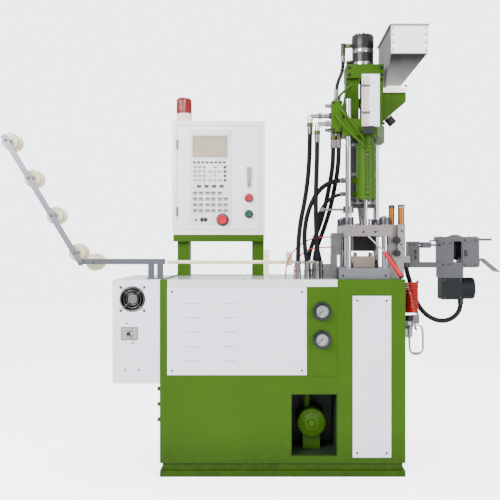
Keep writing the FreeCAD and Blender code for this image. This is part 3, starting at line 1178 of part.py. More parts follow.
HOSE_ROUTES = {
    "first": ("hose_width", [
        (124, -205, 1600), (124, -205, 1490), (115, -204, 1350), (99, -202, 1240), (80, -200, 1150),
        (71, -201, 1060), (69, -200, 990), (69, -200, 923)]),
    "second": ("hose_width", [
        (155, -241, 1558), (155, -241, 1450), (151, -239, 1345), (149, -231, 1230), (152, -220, 1120),
        (156, -207, 1020), (157, -200, 965), (157, -200, 923)]),
    "lift_upper": ("hose_width", [
        (310, -180, 1345), (264, -180, 1345), (218, -182, 1336), (178, -185, 1310), (146, -188, 1268),
        (121, -190, 1214), (105, -192, 1152), (98, -195, 1086), (102, -198, 1018), (111, -200, 966),
        (111, -200, 923)]),
    "lift_lower": ("thin_hose", [
        (310, -180, 1282), (266, -180, 1282), (226, -178, 1265), (192, -175, 1233), (169, -172, 1190),
        (157, -169, 1140), (155, -166, 1086), (161, -165, 1035), (172, -166, 988), (178, -166, 955),
        (178, -166, 923)]),
    "return_left": ("hose_width", [
        (231.5, -209, 1538), (231.5, -209, 1484), (231, -199, 1431), (228, -175, 1384), (222, -148, 1338),
        (213, -127, 1287), (202, -113, 1232), (188, -103, 1176), (170, -94, 1120), (150, -86, 1070),
        (133, -77, 1022), (124, -72, 974), (124, -72, 923)]),
    "return_right": ("hose_width", [
        (257, -209, 1538), (257, -209, 1488), (256.5, -200, 1437), (254, -177, 1390), (249, -149, 1344),
        (241, -126, 1294), (231, -110, 1238), (217, -99, 1182), (199, -91, 1127), (180, -84, 1075),
        (162, -77, 1026), (153, -72, 977), (153, -72, 923)]),
    "cylinder": ("thin_hose", [
        (290, -86, 1960), (290, -86, 1925), (287, -96, 1892), (279, -123, 1860), (267, -158, 1832),
        (256, -188, 1805), (248, -211, 1775), (245, -220, 1745), (245, -220, 1715)]),
}
AIR_ROUTES = [
    [(13, -135, 888), (13, -135, 930), (25, -136, 975), (50, -137, 1018), (88, -137, 1052),
     (134, -136, 1074), (180, -135, 1082), (226, -135, 1082)],
    [(52, -150, 888), (52, -150, 928), (62, -150, 968), (88, -149, 1003), (128, -147, 1026),
     (178, -145, 1034), (226, -145, 1034)],
]
CONDUIT_ROUTE = [
    (850, -100, 782), (850, -100, 750), (838, -101, 720), (814, -103, 697), (784, -105, 684),
    (751, -107, 682), (718, -110, 691), (687, -114, 709), (660, -119, 735), (638, -124, 767),
    (621, -131, 804), (609, -141, 840), (597, -152, 875), (585, -164, 905), (577, -170, 933),
    (577, -170, 962)]


def bent_tube(points, width, name):
    """Straight runs joined by tangent arcs, and a round section carried along them."""
    corners = [Vector(*point) for point in points]
    edges = []
    radii = []
    start = corners[0]
    for before, corner, after in zip(corners, corners[1:], corners[2:]):
        into = (corner - before).normalize()
        out = (after - corner).normalize()
        run = min((corner - before).Length, (after - corner).Length)
        reach = 0.45 * run
        half_turn = into.getAngle(out) / 2
        radius = reach / math.tan(half_turn)
        radii.append(radius)
        first = corner - into * reach
        last = corner + out * reach
        inward = (out - into).normalize()
        middle = corner + inward * (radius / math.cos(half_turn) - radius)
        edges.append(Part.LineSegment(start, first).toShape())
        edges.append(Part.Arc(first, middle, last).toShape())
        start = last
    edges.append(Part.LineSegment(start, corners[-1]).toShape())
    path = Part.Wire(edges)
    ring = Part.Wire([Part.makeCircle(width / 2, corners[0], corners[1] - corners[0])])
    tube = path.makePipeShell([ring], True, False)
    share = tube.Volume / (math.pi * width ** 2 / 4 * path.Length)
    print(f"{name}: tightest radius {min(radii):.0f}, length {path.Length:.0f}, volume share {share:.4f}")
    return tube


def cord_node(name, tubes):
    """A sub-part made of one or more bent tubes."""
    item = DOC.addObject("Part::Feature", "cord")
    item.Shape = tubes[0] if len(tubes) == 1 else Part.makeCompound(tubes)
    return node(name, item)


def cords():
    """The oil hoses, the red air tubes and the motor's conduit."""
    cord_node("hydraulic_hoses", [bent_tube(points, number(width), name)
                                  for name, (width, points) in HOSE_ROUTES.items()])
    cord_node("red_air_tubes", [bent_tube(points, number("air_tube"), "air tube") for points in AIR_ROUTES])
    cord_node("motor_conduit", [bent_tube(CONDUIT_ROUTE, number("conduit_width"), "conduit")])


def build():
    """Makes every sub-part."""
    base_frame()
    mould_column()
    table_cover()
    louvred_panel()
    column_panel()
    panel_screws()
    pressure_gauges()
    gauge_needle("gauge_needle_upper", GAUGE_ROWS[1])
    gauge_needle("gauge_needle_lower", GAUGE_ROWS[0])
    pump_motor()
    electrical_box()
    fan_guard()
    fan_rotor()
    breaker_toggle()
    cabinet_stand()
    control_cabinet()
    control_door()
    push_button("emergency_stop", "estop_x", "estop_z", "16", "estop_head")
    push_button("stop_button", "button_x", "stop_z", "10", "button_head")
    push_button("start_button", "button_x", "start_z", "10", "button_head - 3")
    door_handle()
    beacon()
    feed_arm_lower()
    feed_arm_upper()
    guide_rollers()
    guide_tube()
    bolster_plate()
    top_platen()
    tie_bars()
    lower_mould()
    upper_mould()
    valve_block()
    guide_plate()
    lock_knob("lock_knob_lower", LOCK_ROWS[0])
    lock_knob("lock_knob_upper", LOCK_ROWS[1])
    injection_seat()
    barrel()
    barrel_cover()
    screw()
    ram()
    injection_cylinder()
    carriage_cylinder()
    carriage_rod()
    scale_cover()
    hopper()
    manifold()
    takeoff_frame()
    takeoff_jaw()
    puller_wheel()
    takeoff_motor()
    air_regulator()
    air_tube_coils()
    blow_gun()
    cords()


def export():
    """Checks every object and sub-part, then writes one file for each sub-part."""
    DOC.recompute()
    failed = [item.Name for item in DOC.Objects if {"Invalid", "Error"} & set(item.State)]
    faults = [item.Label for item in NODES if item.Shape.isNull() or not item.Shape.isValid()]
    if failed or faults:
        raise RuntimeError(f"failed objects {failed}, faulty sub-parts {faults}")
    os.makedirs("parts", exist_ok=True)
    for item in NODES:
        item.Shape.exportStep(os.path.join("parts", item.Label + ".step"))
    print(f"{len(NODES)} sub-parts written")


build()
export()
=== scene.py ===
import math
import bmesh
import bpy
import numpy as np
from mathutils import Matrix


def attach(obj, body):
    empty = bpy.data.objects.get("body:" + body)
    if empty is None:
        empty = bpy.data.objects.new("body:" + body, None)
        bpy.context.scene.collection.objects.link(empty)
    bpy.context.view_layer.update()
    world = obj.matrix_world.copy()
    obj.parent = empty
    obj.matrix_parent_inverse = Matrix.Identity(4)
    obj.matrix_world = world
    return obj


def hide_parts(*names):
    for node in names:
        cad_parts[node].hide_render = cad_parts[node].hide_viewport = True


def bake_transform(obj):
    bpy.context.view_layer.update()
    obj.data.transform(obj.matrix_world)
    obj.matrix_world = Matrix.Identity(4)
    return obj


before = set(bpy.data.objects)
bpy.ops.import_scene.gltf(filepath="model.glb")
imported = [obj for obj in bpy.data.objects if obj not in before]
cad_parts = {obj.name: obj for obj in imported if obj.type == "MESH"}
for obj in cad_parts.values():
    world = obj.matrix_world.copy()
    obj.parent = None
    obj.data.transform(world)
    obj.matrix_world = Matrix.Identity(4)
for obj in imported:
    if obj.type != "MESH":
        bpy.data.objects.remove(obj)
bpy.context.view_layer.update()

# ---------------------------------------------------------------- camera

CAMERA_PLACE = (-0.061, -3.5, 1.044)


def aim_camera():
    """A level camera in front of the machine, at the height of its control panel."""
    data = bpy.data.cameras.new("camera")
    data.sensor_width = 36
    data.lens = 51.2
    data.shift_x = -0.04
    data.shift_y = -0.01
    data.clip_end = 50
    camera = bpy.data.objects.new("camera", data)
    camera.location = CAMERA_PLACE
    camera.rotation_euler = (math.pi / 2, 0, 0)
    bpy.context.scene.collection.objects.link(camera)
    bpy.context.scene.camera = camera


aim_camera()

# ---------------------------------------------------------------- cords

HOSES = {
    "hose_first": (0.021, [
        (124, -205, 1600), (124, -205, 1490), (115, -204, 1350), (99, -202, 1240), (80, -200, 1150),
        (71, -201, 1060), (69, -200, 990), (69, -200, 923)]),
    "hose_second": (0.021, [
        (155, -241, 1558), (155, -241, 1450), (151, -239, 1345), (149, -231, 1230), (152, -220, 1120),
        (156, -207, 1020), (157, -200, 965), (157, -200, 923)]),
    "hose_lift_upper": (0.021, [
        (310, -180, 1345), (264, -180, 1345), (218, -182, 1336), (178, -185, 1310), (146, -188, 1268),
        (121, -190, 1214), (105, -192, 1152), (98, -195, 1086), (102, -198, 1018), (111, -200, 966),
        (111, -200, 923)]),
    "hose_lift_lower": (0.016, [
        (310, -180, 1282), (266, -180, 1282), (226, -178, 1265), (192, -175, 1233), (169, -172, 1190),
        (157, -169, 1140), (155, -166, 1086), (161, -165, 1035), (172, -166, 988), (178, -166, 955),
        (178, -166, 923)]),
    "hose_return_left": (0.021, [
        (231.5, -209, 1538), (231.5, -209, 1484), (231, -199, 1431), (228, -175, 1384), (222, -148, 1338),
        (213, -127, 1287), (202, -113, 1232), (188, -103, 1176), (170, -94, 1120), (150, -86, 1070),
        (133, -77, 1022), (124, -72, 974), (124, -72, 923)]),
    "hose_return_right": (0.021, [
        (257, -209, 1538), (257, -209, 1488), (256.5, -200, 1437), (254, -177, 1390), (249, -149, 1344),
        (241, -126, 1294), (231, -110, 1238), (217, -99, 1182), (199, -91, 1127), (180, -84, 1075),
        (162, -77, 1026), (153, -72, 977), (153, -72, 923)]),
    "hose_cylinder": (0.016, [
        (290, -86, 1960), (290, -86, 1925), (287, -96, 1892), (279, -123, 1860), (267, -158, 1832),
        (256, -188, 1805), (248, -211, 1775), (245, -220, 1745), (245, -220, 1715)]),
}
AIR_TUBES = {
    "air_tube_first": (0.006, [
        (13, -135, 888), (13, -135, 930), (25, -136, 975), (50, -137, 1018), (88, -137, 1052),
        (134, -136, 1074), (180, -135, 1082), (226, -135, 1082)]),
    "air_tube_second": (0.006, [
        (52, -150, 888), (52, -150, 928), (62, -150, 968), (88, -149, 1003), (128, -147, 1026),
        (178, -145, 1034), (226, -145, 1034)]),
}
CONDUIT = {
    "motor_conduit_tube": (0.022, [
        (850, -100, 782), (850, -100, 750), (838, -101, 720), (814, -103, 697), (784, -105, 684),
        (751, -107, 682), (718, -110, 691), (687, -114, 709), (660, -119, 735), (638, -124, 767),
        (621, -131, 804), (609, -141, 840), (597, -152, 875), (585, -164, 905), (577, -170, 933),
        (577, -170, 962)]),
}


def cord_curve(name, diameter, route, material):
    """One smooth NURBS line with the route's points, in millimetres, as its control points."""
    data = bpy.data.curves.new(name, "CURVE")
    data.dimensions = "3D"
    line = data.splines.new("NURBS")
    line.points.add(len(route) - 1)
    line.points.foreach_set("co", [value for point in route for value in (*(np.array(point) / 1000), 1.0)])
    line.order_u = 3
    line.use_endpoint_u = True
    line.resolution_u = 12
    data.bevel_depth = diameter / 2
    data.bevel_resolution = 5
    data.use_fill_caps = True
    data.materials.append(material)
    piece = bpy.data.objects.new(name, data)
    bpy.context.scene.collection.objects.link(piece)
    return piece


def line_points(piece):
    """The points of a cord's smooth line, read from its NURBS spline without its thickness."""
    copy = piece.data.copy()
    copy.bevel_depth = 0
    probe = bpy.data.objects.new("probe", copy)
    mesh = bpy.data.meshes.new_from_object(probe)
    points = np.empty(len(mesh.vertices) * 3)
    mesh.vertices.foreach_get("co", points)
    bpy.data.objects.remove(probe)
    bpy.data.meshes.remove(mesh)
    return points.reshape(-1, 3)


def length_of(points):
    """The straight steps of a line added up."""
    return float(np.linalg.norm(np.diff(points, axis=0), axis=1).sum())


# ---------------------------------------------------------------- finishes


class Nodes:
    """Adds shader nodes to one material and joins them."""

    def __init__(self, name):
        self.material = bpy.data.materials.new(name)
        self.material.use_nodes = True
        self.tree = self.material.node_tree
        self.shader = self.tree.nodes["Principled BSDF"]
        self.place = self.add("ShaderNodeTexCoord").outputs["Object"]

    def add(self, kind, **values):
        node = self.tree.nodes.new(kind)
        for key, value in values.items():
            if hasattr(node, key):
                setattr(node, key, value)
            else:
                node.inputs[key.replace("_", " ")].default_value = value
        return node

    def join(self, source, target):
        self.tree.links.new(source, target)

    def noise(self, scale, detail=3, stretch=None):
        """Noise on the piece's own coordinates, drawn out along an axis where stretch says so."""
        texture = self.add("ShaderNodeTexNoise", Scale=scale, Detail=detail)
        if stretch:
            mapping = self.add("ShaderNodeMapping", Scale=stretch)
            self.join(self.place, mapping.inputs["Vector"])
            self.join(mapping.outputs["Vector"], texture.inputs["Vector"])
        else:
            self.join(self.place, texture.inputs["Vector"])
        return texture.outputs["Fac"]

    def ramp(self, source, low, high, start=0.3, end=0.7):
        """Turns a grey field into a colour between two."""
        ramp = self.add("ShaderNodeValToRGB")
        for stop, place, colour in zip(ramp.color_ramp.elements, (start, end), (low, high)):
            stop.position = place
            stop.color = (*colour, 1)
        self.join(source, ramp.inputs["Fac"])
        return ramp.outputs["Color"]

    def bump(self, source, depth, strength=1.0, edge=0.0):
        """Raises the surface by a grey field, with its corners softened by an edge radius."""
        bump = self.add("ShaderNodeBump", Strength=strength, Distance=depth)
        self.join(source, bump.inputs["Height"])
        if edge:
            soft = self.add("ShaderNodeBevel", samples=3, Radius=edge)
            self.join(soft.outputs["Normal"], bump.inputs["Normal"])
        self.join(bump.outputs["Normal"], self.shader.inputs["Normal"])


def shade(colour, factor):
    """A colour made darker or lighter by a factor."""
    return tuple(min(1.0, part * factor) for part in colour)


def paint(name, colour, rough=0.35, grain=0.00008, edge=0.0015, coat=0.25, change=0.06, low_darkening=0.0,
          shine=0.35):
    """Enamel: slight changes of tone, an orange-peel skin and soft corners, and where asked darker in
    blotches towards the floor.
    """
    n = Nodes(name)
    tone = n.ramp(n.noise(5.0, 4), shade(colour, 1 - change), shade(colour, 1 + change), 0.35, 0.65)
    # Where asked, darker in noisy blotches from the floor up to 0.22 m.
    if low_darkening:
        split = n.add("ShaderNodeSeparateXYZ")
        n.join(n.place, split.inputs[0])
        low = n.add("ShaderNodeMapRange", From_Min=0.0, From_Max=0.22, To_Min=low_darkening, To_Max=0.0)
        n.join(split.outputs["Z"], low.inputs["Value"])
        spots = n.add("ShaderNodeMath", operation="MULTIPLY")
        n.join(low.outputs[0], spots.inputs[0])
        n.join(n.noise(30.0, 6), spots.inputs[1])
        mix = n.add("ShaderNodeMix", data_type="RGBA")
        n.join(spots.outputs[0], mix.inputs["Factor"])
        n.join(tone, mix.inputs["A"])
        mix.inputs["B"].default_value = (*shade(colour, 0.35), 1)
        tone = mix.outputs["Result"]
    n.join(tone, n.shader.inputs["Base Color"])
    gloss = n.add("ShaderNodeMapRange", To_Min=rough - 0.06, To_Max=rough + 0.08)
    n.join(n.noise(14.0, 5), gloss.inputs["Value"])
    n.join(gloss.outputs[0], n.shader.inputs["Roughness"])
    n.shader.inputs["Coat Weight"].default_value = coat
    n.shader.inputs["Coat Roughness"].default_value = 0.18
    n.shader.inputs["Specular IOR Level"].default_value = shine
    n.bump(n.noise(420.0, 2), grain, 0.5, edge)
    return n.material


def metal(name, colour, rough=0.3, stretch=(1, 1, 1), edge=0.0008, change=0.12, scratch=0.00005):
    """Bare metal: streaks along the way it was worked, in tone, gloss and height."""
    n = Nodes(name)
    streaks = n.noise(60.0, 6, stretch)
    n.join(n.ramp(streaks, shade(colour, 1 - change), shade(colour, 1 + change)),
           n.shader.inputs["Base Color"])
    n.shader.inputs["Metallic"].default_value = 1.0
    gloss = n.add("ShaderNodeMapRange", To_Min=max(0.03, rough - 0.1), To_Max=rough + 0.12)
    n.join(n.noise(25.0, 4, stretch), gloss.inputs["Value"])
    n.join(gloss.outputs[0], n.shader.inputs["Roughness"])
    n.bump(streaks, scratch, 0.4, edge)
    return n.material


def plastic(name, colour, rough=0.45, grain=0.0001, scale=500.0, edge=0.0008, coat=0.0, shine=0.3):
    """Moulded plastic or rubber: an even colour with faint mottling and a fine moulded grain."""
    n = Nodes(name)
    n.join(n.ramp(n.noise(18.0, 3), shade(colour, 0.92), shade(colour, 1.07)),
           n.shader.inputs["Base Color"])
    n.shader.inputs["Roughness"].default_value = rough
    n.shader.inputs["Coat Weight"].default_value = coat
    n.shader.inputs["Specular IOR Level"].default_value = shine
    n.bump(n.noise(scale, 2), grain, 0.5, edge)
    return n.material


def folded_sheet(name, colour):
    """Bright sheet with painted shade: darker on the faces that lean down or to the left, and painted
    lighter again at its foot.
    """
    n = Nodes(name)
    split = n.add("ShaderNodeSeparateXYZ")
    n.join(n.add("ShaderNodeNewGeometry").outputs["Normal"], split.inputs[0])
    # Painted shade: faces that lean down or to the left are given a darker colour.
    down_facing_shade = n.add("ShaderNodeMapRange", From_Min=-0.30, From_Max=-0.02, To_Min=0.0, To_Max=1.0)
    n.join(split.outputs["Z"], down_facing_shade.inputs["Value"])
    left_facing_shade = n.add("ShaderNodeMapRange", From_Min=-0.6, From_Max=-0.1, To_Min=0.07, To_Max=1.0)
    n.join(split.outputs["X"], left_facing_shade.inputs["Value"])
    slope_shade = n.add("ShaderNodeMath", operation="MULTIPLY")
    n.join(down_facing_shade.outputs[0], slope_shade.inputs[0])
    n.join(left_facing_shade.outputs[0], slope_shade.inputs[1])
    place = n.add("ShaderNodeSeparateXYZ")
    n.join(n.add("ShaderNodeTexCoord").outputs["Object"], place.inputs[0])
    # Painted light: the sheet is lightened again towards its lowest part.
    foot = n.add("ShaderNodeMapRange", From_Min=1.79, From_Max=1.90, To_Min=0.30, To_Max=0.0)
    n.join(place.outputs["Z"], foot.inputs["Value"])
    painted_shade_and_light = n.add("ShaderNodeMath", operation="MAXIMUM")
    n.join(slope_shade.outputs[0], painted_shade_and_light.inputs[0])
    n.join(foot.outputs[0], painted_shade_and_light.inputs[1])
    cloud = n.add("ShaderNodeMath", operation="MULTIPLY_ADD")
    n.join(n.noise(7.0, 4, (1, 1, 0.35)), cloud.inputs[0])
    cloud.inputs[1].default_value = 0.10
    n.join(painted_shade_and_light.outputs[0], cloud.inputs[2])
    n.join(n.ramp(cloud.outputs[0], shade(colour, 0.02), colour, 0.05, 1.05), n.shader.inputs["Base Color"])
    n.shader.inputs["Metallic"].default_value = 0.20
    n.shader.inputs["Specular IOR Level"].default_value = 0.12
    n.shader.inputs["Roughness"].default_value = 0.34
    n.bump(n.noise(160.0, 3, (1, 1, 0.2)), 0.00003, 0.3)
    return n.material


def lens(name, colour, rough=0.12, glass=0.6):
    """A clear moulding, tinted through."""
    n = Nodes(name)
    n.join(n.ramp(n.noise(9.0, 2), shade(colour, 0.9), shade(colour, 1.1)), n.shader.inputs["Base Color"])
    n.shader.inputs["Roughness"].default_value = rough
    n.shader.inputs["Transmission Weight"].default_value = glass
    n.shader.inputs["IOR"].default_value = 1.45
    return n.material


GREEN = (0.029, 0.077, 0.0006)
FINISH = {
    "green": paint("green_enamel", GREEN, rough=0.42, coat=0.0, low_darkening=1.1, shine=0.15),
    "white": paint("white_enamel", (0.70, 0.70, 0.78), rough=0.32, change=0.02, low_darkening=0.3),
    "cover": paint("table_enamel", (0.62, 0.62, 0.66), rough=0.14, change=0.05, coat=0.6),
    "cabinet": paint("cabinet_powder_coat", (0.78, 0.78, 0.78), rough=0.42, grain=0.0003, change=0.02,
                     coat=0.0),
    "door": paint("door_powder_coat", (0.80, 0.80, 0.80), rough=0.40, grain=0.0003, change=0.02, coat=0.0),
    "black": paint("black_enamel", (0.010, 0.010, 0.011), rough=0.34, change=0.15, coat=0.0),
    "motor": paint("motor_enamel", (0.003, 0.005, 0.006), rough=0.5, change=0.15, coat=0.0, shine=0.2),
    "guard": paint("barrel_guard_enamel", (0.014, 0.014, 0.015), rough=0.5, change=0.15, coat=0.0),
    "steel": metal("ground_steel", (0.30, 0.275, 0.26), 0.36, (1, 1, 8)),
    "plate": metal("machined_plate", (0.20, 0.20, 0.215), 0.38, (1, 8, 8)),
    "mould": metal("mould_steel", (0.36, 0.30, 0.25), 0.36, (6, 1, 6)),
    # The mould steel made far darker for the upper mould: dark steel, darkened further as painted shade
    # under the platen.
    "dark_mould": metal("dark_mould_steel_with_painted_shade", (0.022, 0.020, 0.020), 0.4, (6, 1, 6)),
    "chrome": metal("hard_chrome", (0.42, 0.42, 0.44), 0.10, (1, 1, 3), change=0.04, scratch=0.00001),
    "zinc": metal("zinc_plating", (0.17, 0.17, 0.16), 0.3),
    "brass": metal("olive_passivation", (0.15, 0.13, 0.06), 0.32),
    "aluminium": metal("milled_aluminium", (0.19, 0.19, 0.23), 0.4, (8, 1, 1)),
    "arm": metal("arm_steel", (0.11, 0.115, 0.13), 0.42, (1, 6, 6)),
    "unit": metal("take_off_steel", (0.085, 0.085, 0.090), 0.4, (1, 6, 6)),
    "sheet": folded_sheet("bright_sheet_painted_shade", (0.97, 0.96, 0.90)),
    "amber": metal("amber_anodising", (0.34, 0.12, 0.015), 0.34),
    "cream": plastic("cream_nylon", (0.66, 0.60, 0.42), 0.42),
    "black_plastic": plastic("black_moulding", (0.008, 0.008, 0.008), 0.46),
    "grey_plastic": plastic("grey_moulding", (0.14, 0.14, 0.15), 0.45),
    "key": plastic("key_grey", (0.26, 0.27, 0.29), 0.5),
    "key_dark": plastic("key_blue_grey", (0.050, 0.058, 0.080), 0.5),
    "panel": plastic("keypad_film", (0.66, 0.66, 0.66), 0.38, grain=0.00003),
    "red": plastic("red_moulding", (0.38, 0.005, 0.016), 0.34, coat=0.1),
    "green_button": plastic("green_moulding", (0.006, 0.075, 0.030), 0.3, coat=0.1),
    "blue": plastic("blue_moulding", (0.04, 0.14, 0.40), 0.35, coat=0.3),
    "hose": plastic("oil_hose_rubber", (0.004, 0.004, 0.005), 0.6, grain=0.0003, scale=260.0, shine=0.12),
    "conduit": plastic("conduit_skin", (0.005, 0.005, 0.006), 0.55, shine=0.15),
    "air_tube": plastic("red_air_tube", (0.50, 0.014, 0.008), 0.3, coat=0.1),
    "coil": plastic("red_spring_tube", (0.28, 0.009, 0.005), 0.36, shine=0.2),
    "grey_tube": plastic("grey_air_tube", (0.30, 0.31, 0.34), 0.3, coat=0.3),
    "dial": plastic("dial_white", (0.80, 0.80, 0.78), 0.5, grain=0.00001),
    "ink": plastic("dial_ink", (0.02, 0.02, 0.02), 0.5, grain=0.00001),
    "display": plastic("display_film", (0.34, 0.29, 0.22), 0.15, grain=0.00001, coat=0.3),
    "beacon": lens("beacon_lens_red", (0.25, 0.001, 0.007), 0.16, 0.45),
    "bowl": lens("clear_bowl", (0.80, 0.84, 0.88), 0.06, 0.85),
    "glass": lens("gauge_glass", (0.98, 0.99, 1.0), 0.02, 1.0),
    "foot": plastic("beacon_foot_cream", (0.70, 0.60, 0.47), 0.4),
    "lamp": plastic("beacon_reflector", (0.85, 0.16, 0.14), 0.25, coat=0.5),
    # A darker copy of the green enamel: painted shade inside the motor's niche.
    "niche": paint("niche_painted_shade", (0.010, 0.022, 0.010), rough=0.5, coat=0.0),
    "breaker": plastic("breaker_grey", (0.15, 0.15, 0.135), 0.4),
    "breaker_light": plastic("breaker_pale_grey", (0.28, 0.28, 0.25), 0.4),
    "screw_dark": metal("aged_screws", (0.060, 0.060, 0.070), 0.4),
    "gauge_rim": metal("gauge_rim", (0.060, 0.065, 0.070), 0.25),
    "dark_steel": metal("blackened_steel", (0.070, 0.070, 0.075), 0.34),
    "strip": plastic("scale_strip", (0.50, 0.46, 0.38), 0.4),
    "sheet_edge": metal("folded_sheet_edge", (0.34, 0.34, 0.33), 0.35),
    # Flat near-black, for the platens' socket screws and for slots: in the slots it is painted shade.
    "dark": plastic("dark_inside", (0.012, 0.012, 0.012), 0.7),
}

CAD_FINISH = {
    "green": ("base_frame", "mould_column", "pump_motor", "cabinet_stand", "injection_seat",
              "carriage_cylinder",
              "manifold"),
    "white": ("louvred_panel", "column_panel", "electrical_box", "scale_cover"),
    "cover": ("table_cover",),
    "cabinet": ("control_cabinet",),
    "door": ("control_door",),
    "black": ("injection_cylinder",),
    "motor": ("takeoff_motor",),
    "guard": ("barrel_cover",),
    "steel": ("top_platen", "screw", "guide_plate"),
    "plate": ("bolster_plate",),
    "mould": ("lower_mould",),
    "dark_mould": ("upper_mould",),
    "chrome": ("tie_bars", "carriage_rod", "injection_ram"),
    "zinc": ("barrel", "valve_block"),
    "screw_dark": ("panel_screws",),
    "aluminium": ("feed_arm_upper",),
    "arm": ("feed_arm_lower",),
    "unit": ("takeoff_frame", "takeoff_jaw"),
    "sheet": ("hopper",),
    "cream": ("guide_tube",) + tuple(f"guide_roller_{index}" for index in range(1, 6)),
    "grey_plastic": ("puller_wheel", "air_regulator", "pressure_gauges"),
    "black_plastic": ("fan_guard", "fan_rotor", "breaker_toggle", "door_handle", "lock_knob_lower",
                      "lock_knob_upper"),
    "ink": ("gauge_needle_upper", "gauge_needle_lower"),
    "red": ("emergency_stop", "stop_button", "blow_gun"),
    "green_button": ("start_button",),
}


def finish_cad_nodes():
    """Gives every CAD node its finish."""
    for finish, names in CAD_FINISH.items():
        for name in names:
            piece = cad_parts[name]
            piece.data.materials.clear()
            piece.data.materials.append(FINISH[finish])


finish_cad_nodes()


# ---------------------------------------------------------------- shapes

AXES = {
    "X": ((0, 1, 0), (0, 0, 1), (1, 0, 0)),
    "Y": ((0, 0, 1), (1, 0, 0), (0, 1, 0)),
    "Z": ((1, 0, 0), (0, 1, 0), (0, 0, 1)),
}
SHARP = math.radians(38)

# The middles of the parts that the pieces stand on, in millimetres: X and Y of the upright ones, and
# X and Z of those that face the front.
INJECTION = (384, -86)
LIFT_CYLINDER = (384, -196)
REGULATOR = (583, -200)
EMERGENCY_STOP = (-301, 1172)
BOX_FAN = (-680, 801)
PUMP_MOTOR = (132, 220)
PULLER_WHEEL = (839, 1033)
DOOR_HARDWARE_X = -168
GAUGE_X = 173
GAUGE_HEIGHTS = {"gauge_upper": 746, "gauge_lower": 619}
TIE_BARS = [(300, -222), (300, 50), (468, -222), (468, 50)]


def metres(point):
    """Millimetres to metres."""
    return np.array(point, float) / 1000


def full_turn(steps):
    """Even angles round a circle, with its start not said twice."""
    return np.linspace(0, 2 * math.pi, steps, endpoint=False)


def grid(points, wrap=False, caps=False):
    """Faces over a grid of points, rows by columns, closed around its columns and at its ends if asked."""
    rows, columns = points.shape[:2]
    index = np.arange(rows * columns).reshape(rows, columns)
    beside = np.roll(index, -1, axis=1)
    quads = np.stack([index[:-1], beside[:-1], beside[1:], index[1:]], axis=-1)
    if not wrap:
        quads = quads[:, :-1]
    faces = quads.reshape(-1, 4).tolist()
    if caps:
        faces.append(index[0][::-1].tolist())
        faces.append(index[-1].tolist())
    return points.reshape(-1, 3), faces


def turned(profile, centre, axis="Z", sides=40):
    """A solid of revolution: centre + r (cos a U + sin a V) + h W over each (r, h) of the profile."""
    radius, height = metres(profile).T
    u, v, w = (np.array(side, float) for side in AXES[axis])
    angle = full_turn(sides)
    ring = np.cos(angle)[:, None] * u + np.sin(angle)[:, None] * v
    points = metres(centre) + radius[:, None, None] * ring + height[:, None, None] * w
    return grid(points, wrap=True, caps=True)


def knurled(profile, x, z, sides, ribs, depth):
    """A ribbed wheel that faces the front: its radius is r + depth k cos(ribs a) at each (r, y, k)."""
    angle = full_turn(sides)
    radius, y, rib = (row[:, None] for row in np.array(profile, float).T)
    radius = radius + depth * rib * np.cos(angle * ribs)
    y = np.broadcast_to(y, radius.shape)
    points = np.stack([x + radius * np.cos(angle), y, z + radius * np.sin(angle)], axis=-1)
    return grid(points / 1000, wrap=True, caps=True)


def block(low, high):
    """A box between two corners."""
    x0, y0, z0 = metres(low)
    x1, y1, z1 = metres(high)
    ring = np.array([(x0, y0), (x1, y0), (x1, y1), (x0, y1)])
    points = np.stack([np.column_stack([ring, np.full(4, z)]) for z in (z0, z1)])
    return grid(points, wrap=True, caps=True)


def frames_along(path):
    """Two unit directions square to a line at each of its points, carried along it without twist."""
    ahead = np.gradient(path, axis=0)
    ahead /= np.linalg.norm(ahead, axis=1)[:, None]
    side = np.cross(ahead[0], (0.0, 0.0, 1.0) if abs(ahead[0][2]) < 0.9 else (0.0, 1.0, 0.0))
    sides = []
    for way in ahead:
        side = side - way * (side @ way)
        side = side / np.linalg.norm(side)
        sides.append(side)
    sides = np.array(sides)
    return sides, np.cross(ahead, sides)


def swept(path, radius, sides=20):
    """A tube: path(t) + r(t) (cos a S + sin a T), with its ring carried along the path, all in metres."""
    first, second = frames_along(path)
    angle = full_turn(sides)
    radius = np.broadcast_to(np.asarray(radius, float), (len(path),))[:, None, None]
    ring = np.cos(angle)[None, :, None] * first[:, None] + np.sin(angle)[None, :, None] * second[:, None]
    return grid(path[:, None] + radius * ring, wrap=True, caps=True)


def hexagon(centre, across, low, high, axis="Z"):
    """A nut or bolt head with rounded crowns, across its corners."""
    r = across / 2
    return turned([(r * 0.93, low), (r, low + 0.6), (r, high - 1.0), (r * 0.9, high)], centre, axis, 6)


def joined(shapes):
    """Several shapes as one list of points and faces."""
    points, faces, count = [], [], 0
    for shape_points, shape_faces in shapes:
        points.append(shape_points)
        faces.extend([[corner + count for corner in face] for face in shape_faces])
        count += len(shape_points)
    return np.concatenate(points), faces


def moved(shape, turn=0.0, axis="Z", about=(0, 0, 0), shift=(0, 0, 0)):
    """A shape turned about an axis by degrees, then shifted, in millimetres."""
    points, faces = shape
    u, v, w = (np.array(side, float) for side in AXES[axis])
    offset = points - metres(about)
    a, b, c = offset @ u, offset @ v, offset @ w
    angle = math.radians(turn)
    first = a * math.cos(angle) - b * math.sin(angle)
    second = a * math.sin(angle) + b * math.cos(angle)
    turned_points = first[:, None] * u + second[:, None] * v + c[:, None] * w
    return turned_points + metres(about) + metres(shift), faces


